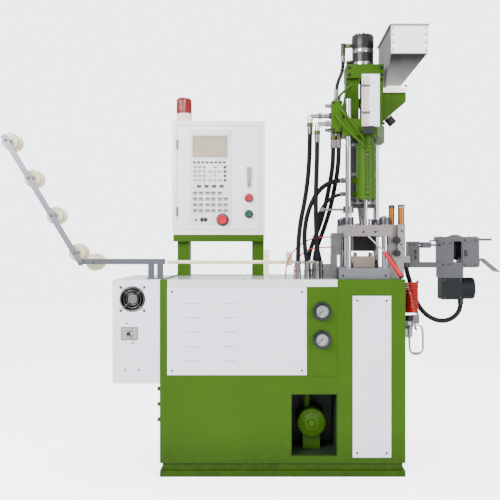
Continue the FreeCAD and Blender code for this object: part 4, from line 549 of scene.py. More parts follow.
def piece(name, shapes, finish, body, slot_name, replaced=(), bevel=0.0):
    """One mesh of several shapes in one finish, that rides on a body and stands for some CAD nodes."""
    points, faces = joined(shapes)
    mesh = bpy.data.meshes.new(name)
    mesh.from_pydata(points.tolist(), [], faces)
    edit = bmesh.new()
    edit.from_mesh(mesh)
    bmesh.ops.recalc_face_normals(edit, faces=edit.faces)
    edit.to_mesh(mesh)
    edit.free()
    mesh.shade_smooth()
    mesh.set_sharp_from_angle(angle=SHARP)
    mesh.materials.append(FINISH[finish])
    item = bpy.data.objects.new(name, mesh)
    bpy.context.scene.collection.objects.link(item)
    if bevel:
        soft = item.modifiers.new("soft_edges", "BEVEL")
        soft.width = bevel / 1000
        soft.segments = 2
        soft.limit_method = "ANGLE"
        soft.angle_limit = SHARP
    if body:
        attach(item, body)
    if replaced:
        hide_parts(*replaced)
    return item


def make_cords():
    """The oil hoses are swept along smooth lines from the carriage down to the base; the cylinder's hose
    rides on the carriage. The other cords ride on the base.
    """
    for name, (diameter, route) in HOSES.items():
        line = cord_curve(name + "_line", diameter, route, FINISH["hose"])
        points = line_points(line)
        bpy.data.objects.remove(line)
        body = "injection_carriage" if name == "hose_cylinder" else None
        hose = piece(name, [swept(points, diameter / 2, 24)], "hose", body, "hose_rubber",
                     ("hydraulic_hoses",))
        if not body:
            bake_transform(hose)
    for routes, finish, slot_name, node in ((AIR_TUBES, "air_tube", "red_plastic", "red_air_tubes"),
                                            (CONDUIT, "conduit", "black_plastic", "motor_conduit")):
        for name, (diameter, route) in routes.items():
            tube = cord_curve(name, diameter, route, FINISH[finish])
            round(length_of(line_points(tube)), 3)
            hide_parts(node)
            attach(tube, "root")


make_cords()

# ---------------------------------------------------------------- control cabinet


def slab(x, y, z):
    """A box from three pairs of limits."""
    return block((x[0], y[0], z[0]), (x[1], y[1], z[1]))


def rounded_slab(x, z, y, radius=3.0):
    """A flat plate that faces the front, with quarter circles at its corners, drawn back along Y."""
    angle = np.linspace(0, math.pi / 2, 6)
    corners = ((x[1] - radius, z[1] - radius, 0), (x[0] + radius, z[1] - radius, 90),
               (x[0] + radius, z[0] + radius, 180), (x[1] - radius, z[0] + radius, 270))
    ring = [(cx + radius * math.cos(a + math.radians(start)),
             cz + radius * math.sin(a + math.radians(start))) for cx, cz, start in corners for a in angle]
    ring = np.array(ring)
    rows = [np.column_stack([ring[:, 0], np.full(len(ring), depth), ring[:, 1]]) for depth in y]
    return grid(np.stack(rows) / 1000, wrap=True, caps=True)


KEYPAD_X = (-470, -255)
KEYPAD_Z = (1142, 1626)
KEYPAD_Y = 100


def key_rows():
    """Each key's middle, width, height and finish, row by row down the keypad."""
    keys = []
    for index in range(8):
        keys.append((-444 + 21.6 * index, 1462, 15, 9, "key_dark"))
    for row in range(4):
        z = 1438 - 22 * row
        for column in range(3):
            keys.append((-439 + 22 * column, z, 15, 12, "key"))
        keys.append((-289, z, 13, 13, "key_dark"))
    for x, z in ((-340, 1438), (-362, 1415), (-340, 1415), (-318, 1415), (-340, 1396),
                 (-364, 1372), (-340, 1372), (-315, 1372)):
        keys.append((x, z, 16, 10, "key"))
    for index in range(4):
        keys.append((-420 + 38 * index, 1341, 22, 14, "key_dark"))
    for row in range(4):
        z = 1306 - 29.5 * row
        for column in range(6):
            x = (-440, -410, -377, -348, -315, -286)[column]
            if row == 0 and column == 5:
                continue
            keys.append((x, z, 24, 18, "key"))
            keys.append((x, z + 3, 15, 5, "key_dark"))
    return keys


def make_keypad():
    """The film keypad on the door: a raised sheet with a display, four groups of keys and round sockets."""
    front = KEYPAD_Y
    piece("keypad_film", [rounded_slab(KEYPAD_X, KEYPAD_Z, (front - 2.0, front + 0.5), 4)], "panel",
          "control_door", "grey_white_paint", bevel=0.5)
    bezel = [slab((-452, -276), (front - 4, front - 1.5), z) for z in ((1594, 1598), (1488, 1492))]
    bezel += [slab(x, (front - 4, front - 1.5), (1488, 1598)) for x in ((-452, -448), (-280, -276))]
    piece("display_bezel", bezel, "key", "control_door", "grey_plastic", bevel=0.6)
    piece("display_window", [slab((-448, -280), (front - 2.6, front - 1.5), (1492, 1594))], "display",
          "control_door", "grey_plastic")
    for finish in ("key", "key_dark"):
        shapes = [rounded_slab((x - w / 2, x + w / 2), (z - h / 2, z + h / 2),
                               (front - (3.0 if finish == "key" else 3.4), front - 1.5), 1.5)
                  for x, z, w, h, kind in key_rows() if kind == finish]
        piece("keys_" + finish, shapes, finish, "control_door", "grey_plastic")
    sockets = [turned([(11, -1.5), (11, -4), (8, -4.5), (7, -2)], (-404, front, 1172), "Y", 24),
               turned([(11, -1.5), (11, -4), (8, -4.5), (7, -2)], (-388, front, 1172), "Y", 24),
               slab((-404, -388), (front - 4, front - 1.5), (1163, 1181))]
    piece("keypad_socket", sockets, "key_dark", "control_door", "grey_plastic", bevel=0.5)
    key_lock = [turned([(7, -1.5), (7, -5), (5.5, -6), (1, -6)], (-436, front, 1172), "Y", 24),
                slab((-437, -435), (front - 9, front - 5), (1166, 1178))]
    piece("keypad_lock", key_lock, "zinc", "control_door", "zinc", bevel=0.4)


def arc_button(name, centre, width, low, high, finish, slot_name, node, body):
    """A button with a dished head, a rounded rim and a grip ring: radius over height along the push."""
    x, z = centre
    r = width / 2
    profile = [(r * 0.55, low), (r * 0.6, low - 3), (r * 0.92, low - 4), (r, low - 6), (r, high + 3.5),
               (r * 0.97, high + 1.2), (r * 0.9, high), (r * 0.6, high + 0.8), (r * 0.25, high + 1.2),
               (0.5, high + 1.3)]
    head = turned(profile, (x, 0, z), "Y", 48)
    return piece(name, [head], finish, body, slot_name, (node,))


def make_buttons():
    """The push buttons with their rings, and the emergency stop's marks and collar."""
    x, z = EMERGENCY_STOP
    arc_button("emergency_stop_head", EMERGENCY_STOP, 48, 94, 70, "red", "red_plastic", "emergency_stop",
               "emergency_stop")
    arrows = []
    for turn in (0, 120, 240):
        angle = np.radians(np.linspace(20, 80, 10) + turn)
        edges = [np.column_stack([x + reach * np.cos(angle), np.full(10, 69.9), z + reach * np.sin(angle)])
                 for reach in (13, 15.5)]
        arrows.append(grid(np.stack(edges) / 1000))
    piece("emergency_stop_marks", arrows, "red", "emergency_stop", "red_plastic")
    collar = turned([(32, 0), (32, -2.4), (30, -3), (25.6, -3), (25.6, 0)], (x, 98, z), "Y", 56)
    for name, z, width, finish, slot_name in (("stop_button", 1282, 36, "red", "red_plastic"),
                                              ("start_button", 1201, 33, "green_button", "green_plastic")):
        arc_button(name + "_head", (DOOR_HARDWARE_X, z), width - 2, 96, 76, finish, slot_name, name, name)
        ring = turned([(width / 2 + 5, 0), (width / 2 + 5, -4), (width / 2 + 3.4, -7),
                       (width / 2 + 1.4, -7.5), (width / 2 + 1.4, 0)], (DOOR_HARDWARE_X, 100, z), "Y", 40)
        piece(name + "_ring", [ring], "zinc" if finish == "red" else "key_dark", "control_door", "zinc")
    piece("emergency_stop_collar", [collar], "key_dark", "control_door", "grey_plastic")


def make_handle():
    """The swing handle: a pale plate with a rounded foot and a lever that narrows to a rounded tip."""
    z = np.array([1430, 1420, 1400, 1370, 1345, 1338, 1334])
    half = np.array([10.5, 11, 10, 9, 8, 6, 2.5])
    front = np.array([83.5, 82.4, 82.6, 84, 86, 88, 91])
    rows = []
    for height, width, face in zip(z, half, front):
        angle = np.radians(np.arange(0, 360, 18))
        x = DOOR_HARDWARE_X + width * np.sign(np.cos(angle)) * np.abs(np.cos(angle)) ** 0.5
        y = (face + 95) / 2 - (95 - face) / 2 * np.sign(np.sin(angle)) * np.abs(np.sin(angle)) ** 0.6
        rows.append(np.column_stack([x, y, np.full(len(angle), height)]))
    rows = np.stack(rows[::-1]) / 1000
    hub = turned([(12.5, 95), (12.5, 86), (11, 83), (6, 82.2), (0.8, 82.2)], (DOOR_HARDWARE_X, 0, 1428),
                 "Y", 36)
    piece("door_lever", [grid(rows, wrap=True, caps=True), hub], "key", "door_handle", "black_plastic",
          ("door_handle",))
    lock = [turned([(5, 0), (5, -1.2), (4.2, -1.5), (0.8, -1.5)], (DOOR_HARDWARE_X, 83.6, 1352), "Y", 20)]
    piece("door_lever_lock", lock, "zinc", "door_handle", "zinc")


def make_beacon():
    """The beacon: a cream foot with a flange, and a red ribbed lens with a domed top."""
    x, y = -502, 155
    foot = turned([(40, 1672), (40, 1676), (38.5, 1677), (38.5, 1708), (39.5, 1709), (39.5, 1716.5),
                   (30, 1716.5)], (x, y, 0), "Z", 64)
    piece("beacon_foot", [foot], "foot", "root", "cream_plastic", ("beacon",), bevel=0.6)
    height = np.array([1717, 1719, 1722, 1782, 1790, 1796, 1799, 1800])
    radius = np.array([37.5, 38.5, 38.2, 37.6, 36, 30, 20, 1.0])
    angle = full_turn(192)
    rib = 0.7 * np.cos(angle * 36)
    ring = np.stack([np.cos(angle), np.sin(angle)], axis=-1)
    depth = np.array([0, 0, 1, 1, 0.6, 0.2, 0, 0])
    radii = radius[:, None] + depth[:, None] * rib[None]
    points = np.concatenate([ring[None] * radii[..., None],
                             np.broadcast_to(height[:, None, None], (8, 192, 1))], axis=-1)
    piece("beacon_lens", [grid((points + (x, y, 0)) / 1000, wrap=True, caps=True)], "beacon", "root",
          "red_plastic")
    lamp = [turned([(6, 1717), (6, 1735), (12, 1740), (14, 1752), (10, 1764), (1, 1768)], (x, y, 0), "Z",
                   24), turned([(31, 1716), (30, 1760), (29.5, 1760), (29.5, 1716)], (x, y, 0), "Z", 24)]
    piece("beacon_lamp", lamp, "lamp", "root", "red_plastic")


make_keypad()
make_buttons()
make_handle()
make_beacon()

# ---------------------------------------------------------------- base


def make_louvres():
    """Pressed hoods over the panel's slots: a quarter-round ridge along X that fades at both ends."""
    along = np.linspace(-1, 1, 25)
    turn = np.linspace(0, math.pi / 2, 9)
    hoods = []
    for x in (-407, -245):
        for row in range(5):
            low = 524 + 64.75 * row + 3
            rise = np.clip((1 - np.abs(along) ** 6), 0, 1)
            px = np.broadcast_to(x + 31 * along, (len(turn), len(along)))
            py = -303.1 - 5.0 * np.cos(turn)[:, None] * rise[None]
            pz = low + 12 * np.sin(turn)[:, None] * np.ones_like(rise)[None] - 1
            hood = grid(np.stack([px, py, pz], axis=-1) / 1000)
            lip = np.stack([np.stack([x + 31 * along, -303.1 - 5.0 * rise, np.full(25, low - 1)], axis=-1),
                            np.stack([x + 31 * along, -303.1 - 4.2 * rise, np.full(25, low - 2)], axis=-1)])
            hoods += [hood, grid(lip / 1000)]
    piece("louvre_hoods", hoods, "white", "root", "white_paint")
    shadow = [slab((x - 27, x + 27), (-302.6, -300.5), (524 + 64.75 * row, 531 + 64.75 * row))
              for x in (-407, -245) for row in range(5)]
    piece("louvre_slots", shadow, "grey_plastic", "root", "grey_plastic")


def make_gauge(name, z):
    """A pressure gauge: a bezel with three screws, and a white dial with ticks and numbers."""
    x = GAUGE_X
    flange = turned([(42.4, -300.2), (42.4, -304), (41, -306.2), (33, -306.2), (32.6, -331), (31.6, -334.2),
                     (28.2, -334), (27.6, -331), (27.6, -312), (27.6, -300.2)], (x, 0, z), "Y", 72)
    heads = [turned([(3, -306), (3, -308), (2.3, -309), (0.4, -309)],
                    (x + 37.4 * math.sin(a), 0, z + 37.4 * math.cos(a)), "Y", 16)
             for a in np.radians((0, 120, 240))]
    piece(name + "_bezel", [flange], "gauge_rim", "root", "chrome_rod", ("pressure_gauges",))
    piece(name + "_screws", heads, "black", "root", "black_plastic")
    piece(name + "_dial", [turned([(27.6, -311), (27.6, -311.6), (0.5, -311.6)], (x, 0, z), "Y", 48)],
          "dial", "root", "chrome_rod")
    ticks = []
    for index in range(51):
        angle = math.radians(225 - 270 * index / 50)
        tall = index % 10 == 0
        inner = 20.5 if tall else 23.0
        width = 0.55 if tall else 0.28
        mark = slab((x + inner, x + 25.5), (-311.9, -311.6), (z - width, z + width))
        ticks.append(moved(mark, -math.degrees(angle), "Y", (x, 0, z)))
    ticks.append(ring_band(x, z, 25.5, 26.0, -311.8))
    piece(name + "_ticks", ticks, "ink", "root", "black_plastic")
    for index in range(6):
        angle = math.radians(225 - 54 * index)
        write(f"{name}_number_{index}", str(index * 5), 5.2,
              (x + 16.0 * math.cos(angle), -311.75, z + 16.0 * math.sin(angle)))


def ring_band(x, z, inner, outer, y):
    """A flat ring that faces the front."""
    angle = full_turn(72)
    ring = np.stack([np.cos(angle), np.zeros(72), np.sin(angle)], axis=-1)
    return grid((np.stack([ring * inner, ring * outer]) + (x, y, z)) / 1000, wrap=True)


def write(name, text, size, place):
    """A short number that faces the front."""
    data = bpy.data.curves.new(name, "FONT")
    data.body = text
    data.size = size / 1000
    data.align_x = "CENTER"
    data.align_y = "CENTER"
    data.resolution_u = 3
    source = bpy.data.objects.new("writing", data)
    mesh = bpy.data.meshes.new_from_object(source)
    bpy.data.objects.remove(source)
    points = np.empty(len(mesh.vertices) * 3)
    mesh.vertices.foreach_get("co", points)
    points = points.reshape(-1, 3)[:, (0, 2, 1)] * (1, -1, 1) + metres(place)
    mesh.vertices.foreach_set("co", points.ravel())
    mesh.materials.clear()
    mesh.materials.append(FINISH["ink"])
    item = bpy.data.objects.new(name, mesh)
    bpy.context.scene.collection.objects.link(item)
    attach(item, "root")


def make_gauges():
    """Both gauges, and the clear cover over each."""
    for name, z in GAUGE_HEIGHTS.items():
        make_gauge(name, z)
    covers = [turned([(28, -330), (28, -332), (0.5, -332.6)], (GAUGE_X, 0, z), "Y", 48)
              for z in GAUGE_HEIGHTS.values()]
    piece("gauge_covers", covers, "glass", "root", "chrome_rod")


def make_panel_edges():
    """Weld seams, the plinth's bead and the raised lip round the motor's opening, and painted shade inside
    that opening.
    """
    lip = [slab((33, 242), (-302, -299), (372, 375)), slab((33, 36), (-302, -299), (93, 375)),
           slab((239, 242), (-302, -299), (93, 375)), slab((33, 242), (-302, -299), (92, 95))]
    seam = [slab((242.6, 244.4), (-301.2, -299), (457, 884)), slab((108, 243), (-301.6, -299), (452, 455)),
            slab((242, 245), (-301.6, -299), (452, 457))]
    piece("front_seams", lip + seam, "green", "root", "green_paint", bevel=1.2)
    # Dark sheets on the niche's walls: painted shade in the recess.
    dark = [slab((35.5, 239.5), (-44, -42), (96, 371)), slab((36, 37.5), (-290, -44), (96, 371)),
            slab((237.5, 239), (-290, -44), (96, 371)), slab((37, 238), (-296, -44), (370, 371.5)),
            slab((37, 238), (-290, -44), (95.5, 97))]
    piece("niche_shade_sheets", dark, "niche", "root", "dark_paint")


def make_pump_motor():
    """The pump motor's face: a ribbed bell, a ring of bolts and a capped centre, and its cooling fins."""
    x, z = PUMP_MOTOR
    angle = full_turn(96)
    bulge = 0.9 * np.clip(np.cos(angle * 16), 0, 1)
    profile = [(65, -200, 0), (65, -202, 0), (61, -205.5, 0), (50, -206, 1), (40, -211, 1), (30, -215.5, 1),
               (20, -217.5, 0.4), (19, -214, 0), (18, -214, 0), (17.5, -219.5, 0), (15.5, -221, 0),
               (0.6, -221, 0)]
    radius, depth, swell = (row[:, None] for row in np.array(profile).T)
    radius = radius * np.ones(96)
    depth = depth - bulge * swell
    points = np.stack([x + radius * np.cos(angle), depth, z + radius * np.sin(angle)], axis=-1)
    bolts = [hexagon((x + 55 * math.cos(a), 0, z + 55 * math.sin(a)), 8, -210, -205, "Y")
             for a in np.radians(np.arange(22.5, 382, 45))]
    bell = grid(points / 1000, wrap=True, caps=True)
    piece("motor_bell", [bell] + bolts, "green", "root", "green_paint")
    fins = [moved(slab((x - 1.2, x + 1.2), (-195, -60), (z + 64.5, z + 69)), turn, "Y", (x, 0, z))
            for turn in range(0, 360, 12) if not 150 < (turn + 90) % 360 < 210]
    piece("motor_fins", fins, "green", "root", "green_paint")


make_louvres()
make_gauges()
make_panel_edges()
make_pump_motor()


# ---------------------------------------------------------------- electrical box


def make_fan_guard():
    """The plated wire guard: four rings on four bent arms, before a dark surround, and the fan's hub."""
    x, z = BOX_FAN
    wires = []
    for radius in (15, 27, 39, 51):
        angle = np.linspace(0, 2 * math.pi, 73)
        path = np.stack([x + radius * np.cos(angle), np.full(73, -306.2), z + radius * np.sin(angle)],
                        axis=-1)
        wires.append(swept(path / 1000, 0.0011, 8))
    for a in np.radians((45, 135, 225, 315)):
        reach = np.array([13, 30, 50, 56, 62, 72])
        depth = np.array([-305.4, -305.4, -305.4, -305, -303.8, -303.2])
        path = np.stack([x + reach * math.cos(a), depth, z + reach * math.sin(a)], axis=-1)
        wires.append(swept(path / 1000, 0.0012, 8))
    piece("fan_wires", wires, "zinc", "root", "chrome_rod", ("fan_guard",))
    surround = [turned([(57, -297), (57, -303), (55.5, -304), (52.5, -303), (52.5, -297)], (x, 0, z), "Y",
                       64)]
    piece("fan_surround", surround, "black", "root", "black_plastic")
    screws = [turned([(5.5, -300.2), (5.5, -303), (4, -305.4), (0.5, -305.6)],
                     (x + dx, 0, z + dz), "Y", 20) for dx in (-53, 53) for dz in (-53, 53)]
    piece("fan_screws", screws, "screw_dark", "root", "zinc")
    hub = [turned([(21, 0), (21, -1.2), (18, -2.2), (0.6, -2.2)], (x, -296, z), "Y", 48)]
    piece("fan_hub_disc", hub, "breaker", "fan_rotor", "black_plastic")
    marks = [ring_band(x, z, 8, 9.5, -298.4), ring_band(x, z, 14, 15, -298.4)]
    piece("fan_hub_marks", marks, "key_dark", "fan_rotor", "black_plastic")


def make_breaker():
    """The main breaker behind its window: a grey body with its black switch and screws."""
    plate = [rounded_slab((-731, -655), (617, 675), (-304.2, -303.8), 2)]
    piece("breaker_plate", plate, "breaker", "root", "grey_plastic")
    cells = [slab((-727, -705), (-306.5, -304), (621, 671)), slab((-681, -659), (-306.5, -304), (621, 671)),
             slab((-703, -683), (-306.5, -304), (621, 636)), slab((-703, -683), (-306, -304), (656, 671))]
    piece("breaker_cells", cells, "breaker_light", "root", "grey_plastic", bevel=0.8)
    heads = [turned([(3.6, -300), (3.6, -302.2), (2.6, -303), (0.4, -303)], (bx, 0, bz), "Y", 16)
             for bx, bz in ((-706, 692), (-679, 603), (-713, 482), (-651, 482))]
    piece("box_screws", heads, "screw_dark", "root", "zinc")


make_fan_guard()
make_breaker()

# ---------------------------------------------------------------- injection unit


def fitting(end, way, width):
    """A hose end: a ribbed crimped sleeve back along the hose and a hexagon nut at its mouth."""
    axis = "XYZ"[int(np.argmax(np.abs(way)))]
    sign = 1 if sum(way) > 0 else -1
    r = width / 2 + 2.4
    steps = [(width / 2 + 0.3, -46), (r - 0.6, -45), (r, -43)]
    for index in range(5):
        steps += [(r, -38 + 5 * index), (r - 0.8, -37 + 5 * index), (r - 0.8, -35.5 + 5 * index),
                  (r, -34.5 + 5 * index)]
    steps += [(r, -12), (r - 1.5, -11), (r - 1.5, -8), (0.9 * r, -8)]
    sleeve = turned([(radius, sign * height) for radius, height in steps], end, axis, 28)
    flats = [(0.98 * r, -9), (1.12 * r, -8), (1.12 * r, 9), (0.98 * r, 10)]
    nut = turned([(radius, sign * height) for radius, height in flats], end, axis, 6)
    return sleeve, nut


def make_hose_ends():
    """Sleeves and nuts on both ends of each oil hose."""
    for name, (diameter, route) in HOSES.items():
        width = diameter * 1000
        foot_body = "injection_carriage" if name == "hose_cylinder" else "root"
        for body, end, beside in (("injection_carriage", route[0], route[1]),
                                  (foot_body, route[-1], route[-2])):
            sleeve, nut = fitting(end, np.sign(np.round(np.array(end, float) - beside)), width)
            label = f"{name}_{'top' if end is route[0] else 'foot'}"
            piece(label + "_sleeve", [sleeve], "zinc", body, "zinc")
            piece(label + "_nut", [nut], "brass" if end is route[0] else "zinc", body, "zinc", bevel=0.6)


def bent(points, radius, sides=20):
    """A pipe along a few points, its corners rounded by a short NURBS line."""
    line = cord_curve("bend", radius * 2 / 1000, points, FINISH["zinc"])
    path = line_points(line)
    bpy.data.objects.remove(line)
    return swept(path, radius / 1000, sides)


def make_manifold():
    """The green manifold with bright elbows and plugs, and two green pipes to the casting."""
    piece("manifold_block", [block((221, -250, 1563), (270, -196, 1705))], "green", "injection_carriage",
          "green_paint", ("manifold",), bevel=2.5)
    elbows = []
    nuts = []
    for x, y, z, foot in ((124, -205, 1642, 1600), (155, -241, 1600, 1558)):
        elbows.append(bent([(222, y, z), (x + 34, y, z), (x + 8, y, z), (x, y, z - 8), (x, y, foot)], 11.5))
        nuts.append(turned([(13.5, x + 38), (15, x + 39), (15, x + 53), (13.5, x + 54)], (0, y, z), "X", 6))
        nuts.append(turned([(14, 212), (15.5, 213), (15.5, 221), (14, 222)], (0, y, z), "X", 6))
    for z in (1685, 1572):
        nuts.append(turned([(6, 192), (8.5, 193), (8.5, 204), (9, 204.5), (9, 212), (11, 212), (11, 222)],
                           (0, -223, z), "X", 6))
    for x in (231.5, 257):
        nuts.append(turned([(12.2, 1541), (12.5, 1542), (12.5, 1562), (12.2, 1563)], (x, -209, 0), "Z", 6))
    nuts.append(turned([(10.5, 1704), (11, 1705), (11, 1714)], (245, -220, 0), "Z", 6))
    piece("manifold_elbows", elbows, "chrome", "injection_carriage", "zinc")
    piece("manifold_nuts", nuts, "zinc", "injection_carriage", "zinc", bevel=0.6)
    pipes = [bent([(262, -252, 1660), (272, -259, 1652), (300, -262, 1618), (340, -262, 1566),
                   (362, -258, 1536), (370, -244, 1522)], 6),
             bent([(238, -252, 1640), (244, -259, 1630), (270, -268, 1590), (330, -270, 1530),
                   (366, -262, 1500), (374, -244, 1486)], 6),
             bent([(258, -214, 1704), (258, -214, 1722), (266, -210, 1742), (296, -194, 1768),
                   (322, -180, 1790)], 6)]
    piece("manifold_pipes", pipes, "green", "injection_carriage", "green_paint")
    heads = [turned([(5.5, -250), (5.5, -255), (4.8, -255.6), (2.8, -255.6), (2.8, -252.5)], (x, 0, z), "Y",
                    20) for x in (229, 262) for z in (1572, 1696)]
    piece("manifold_bolts", heads, "black", "injection_carriage", "black_plastic")


def make_top_cylinder():
    """The top cylinder's bright ring, tie bolts, nameless cap and its fittings."""
    x, y = INJECTION
    ring = turned([(51.2, 1898), (52, 1899), (52, 1913), (51.2, 1914)], (x, y, 0), "Z", 72)
    band = turned([(50.9, 1958), (51.4, 1959), (51.4, 1976), (50.9, 1977)], (x, y, 0), "Z", 72)
    piece("top_cylinder_rings", [ring, band], "chrome", "injection_carriage", "chrome_rod")
    bolts = []
    for a in np.radians(np.arange(0, 360, 30)):
        centre = (x + 42 * math.cos(a), y + 42 * math.sin(a), 0)
        bolts.append(turned([(5, 2043.5), (5, 2048.5), (4.4, 2049.4), (2.6, 2049.4), (2.6, 2046)], centre,
                            "Z", 18))
    piece("top_cylinder_bolts", bolts, "black", "injection_carriage", "black_plastic")
    cap = turned([(51.3, 1990), (52.4, 1991), (52.4, 2040), (50, 2044.6), (38, 2045.2), (0.6, 2045.2)],
                 (x, y, 0), "Z", 72)
    piece("top_cylinder_cap", [cap], "black", "injection_carriage", "black_plastic")
    nuts = [turned([(11, 304), (12, 305), (12, 321), (11, 322)], (0, y, 2000), "X", 6),
            turned([(11, 306), (12, 307), (12, 321), (11, 322)], (0, y, 1920), "X", 6),
            bent([(318, y, 2000), (302, y, 2000), (292, y, 1999), (290, y, 1990), (290, y, 1964)], 9)]
    piece("top_cylinder_fittings", nuts, "brass", "injection_carriage", "zinc", bevel=0.5)


def make_seat_details():
    """Bolts, ribs and the collar's rim on the casting that carries the injection unit."""
    heads = []
    for x, z in ((312, 1563), (312, 1604), (463, 1604), (312, 1846), (312, 1880), (463, 1846), (463, 1880)):
        y = -152 if z > 1800 else -222
        heads.append(turned([(6.5, y + 3), (6.5, y - 5), (5.6, y - 6), (3.2, y - 6), (3.2, y - 2)],
                            (x, 0, z), "Y", 20))
    piece("seat_bolts", heads, "black", "injection_carriage", "black_plastic")
    rims = [turned([(37.4, 1507), (38.2, 1508), (38.2, 1516), (37.4, 1517)], (*LIFT_CYLINDER, 0), "Z", 56),
            turned([(44.4, 1256), (46, 1258), (46, 1272), (44.4, 1274)], (*LIFT_CYLINDER, 0), "Z", 56),
            turned([(44.4, 1488), (46, 1490), (46, 1503), (44.4, 1505)], (*LIFT_CYLINDER, 0), "Z", 56)]
    piece("lift_cylinder_rims", rims, "green", "injection_carriage", "green_paint")
    x, y = LIFT_CYLINDER
    ties = [turned([(4, 1262), (4, 1500)], (x + 40 * math.cos(a), y + 40 * math.sin(a), 0), "Z", 14)
            for a in np.radians((200, 340))]
    nuts = [hexagon((x + 41 * math.cos(a), y + 41 * math.sin(a), 0), 12, 1246, 1255)
            for a in np.radians((200, 250, 290, 340))]
    piece("lift_cylinder_ties", ties, "green", "injection_carriage", "green_paint")
    piece("lift_cylinder_nuts", nuts, "zinc", "injection_carriage", "zinc", bevel=0.4)
    unions = [turned([(5, 1300), (7.5, 1302), (7.5, 1316), (5, 1318)], (384, -246, 0), "Z", 6),
              turned([(5, 1448), (7.5, 1450), (7.5, 1464), (5, 1466)], (384, -246, 0), "Z", 6)]
    piece("lift_pipe_unions", unions, "brass", "injection_carriage", "zinc", bevel=0.4)


def make_scale():
    """The linear scale: a pale strip with ticks and clips on the left, a white cover on the right."""
    piece("scale_strip", [slab((358, 386), (-277, -274.5), (1588, 1812))], "strip", "injection_carriage",
          "white_paint", bevel=0.8)
    piece("scale_face", [slab((389, 436), (-279, -274.5), (1584, 1818))], "white", "injection_carriage",
          "white_paint", bevel=1.6)
    ticks = [slab((360, 367 if index % 5 else 371), (-277.3, -276.9),
                  (1596 + 4.2 * index, 1596.6 + 4.2 * index)) for index in range(50)]
    piece("scale_ticks", ticks, "ink", "injection_carriage", "black_plastic")
    clips = [slab((355, 392), (-280, -276), (z, z + 9)) for z in (1640, 1762)]
    clips += [turned([(3, -280), (3, -282), (0.4, -282.4)], (x, 0, z), "Y", 12) for x in (360, 386)
              for z in (1644.5, 1766.5)]
    piece("scale_clips", clips, "zinc", "injection_carriage", "zinc", bevel=0.5)
    piece("scale_foot", [slab((355, 412), (-282, -250), (1549, 1583))], "black", "injection_carriage",
          "black_plastic", bevel=2)


def make_hopper_trim():
    """The hopper's rolled rim, folded seams, rivets and foot bolts, and the ribbed cap on its throat."""
    rim = []
    corners = [(485, -273.5, 2045), (658, -273.5, 2045), (658, 111.5, 2045), (485, 111.5, 2045)]
    for a, b in zip(corners, corners[1:] + corners[:1]):
        path = np.linspace(metres(a), metres(b), 3)
        rim.append(swept(path, 0.0042, 14))
    piece("hopper_rim", rim, "sheet_edge", "injection_carriage", "sheet_steel")
    rivets = [turned([(4, -270), (3.6, -271.4), (2.4, -272.4), (0.4, -272.8)], (x, 0, z), "Y", 16)
              for x in (497, 647) for z in (1930, 1965, 2000, 2030)]
    piece("hopper_rivets", rivets, "zinc", "injection_carriage", "zinc")
    seam = [slab((486.6, 489.4), (-271.4, -269.6), (1914, 2041)),
            slab((653.6, 656), (-271.4, -269.6), (1914, 2041)),
            slab((488, 655), (-271.6, -269.6), (1912, 1916))]
    piece("hopper_seams", seam, "sheet_edge", "injection_carriage", "sheet_steel", bevel=0.5)
    heads = [hexagon((x, y, 0), 13, 1787, 1795) for x in (484, 577) for y in (-160, -12)]
    piece("hopper_base_bolts", heads, "zinc", "injection_carriage", "zinc", bevel=0.4)
    way = np.array((95, 0, -110)) / math.hypot(95, 110)
    along = np.array([3, 4, 11, 12, 14, 15, 22, 23, 25, 26, 33, 34, 36, 37, 40, 42])
    radius = np.array([19, 21, 21, 20.3, 20.3, 21, 21, 20.3, 20.3, 21, 21, 20.3, 20.3, 21, 21, 19.5])
    path = np.array((502.7, -86, 1655.7)) + along[:, None] * way
    piece("throat_cap", [swept(path / 1000, radius / 1000, 40)], "black_plastic", "injection_carriage",
          "black_plastic")


def make_barrel_cover():
    """Clamp bands and air slots round the black barrel cover."""
    bands = [turned([(62.6, z), (64, z + 1), (64, z + 13), (62.6, z + 14)], (*INJECTION, 0), "Z", 80)
             for z in (1236, 1372, 1512)]
    piece("barrel_bands", bands, "zinc", "injection_carriage", "zinc")
    # The dark strips are painted shade in the cover's air slots.
    slots = []
    x, y = INJECTION
    for row in range(9):
        for a in np.radians(np.arange(0, 360, 18)):
            z = 1262 + 28 * row
            if 1364 < z < 1392:
                continue
            slot = slab((x + 62.2, x + 63.0), (y - 3, y + 3), (z, z + 16))
            slots.append(moved(slot, math.degrees(a), "Z", (*INJECTION, 0)))
    piece("barrel_slots", slots, "dark", "injection_carriage", "black_plastic")


make_hose_ends()
make_manifold()
make_top_cylinder()
make_seat_details()
make_scale()
make_hopper_trim()
make_barrel_cover()

# ---------------------------------------------------------------- clamp


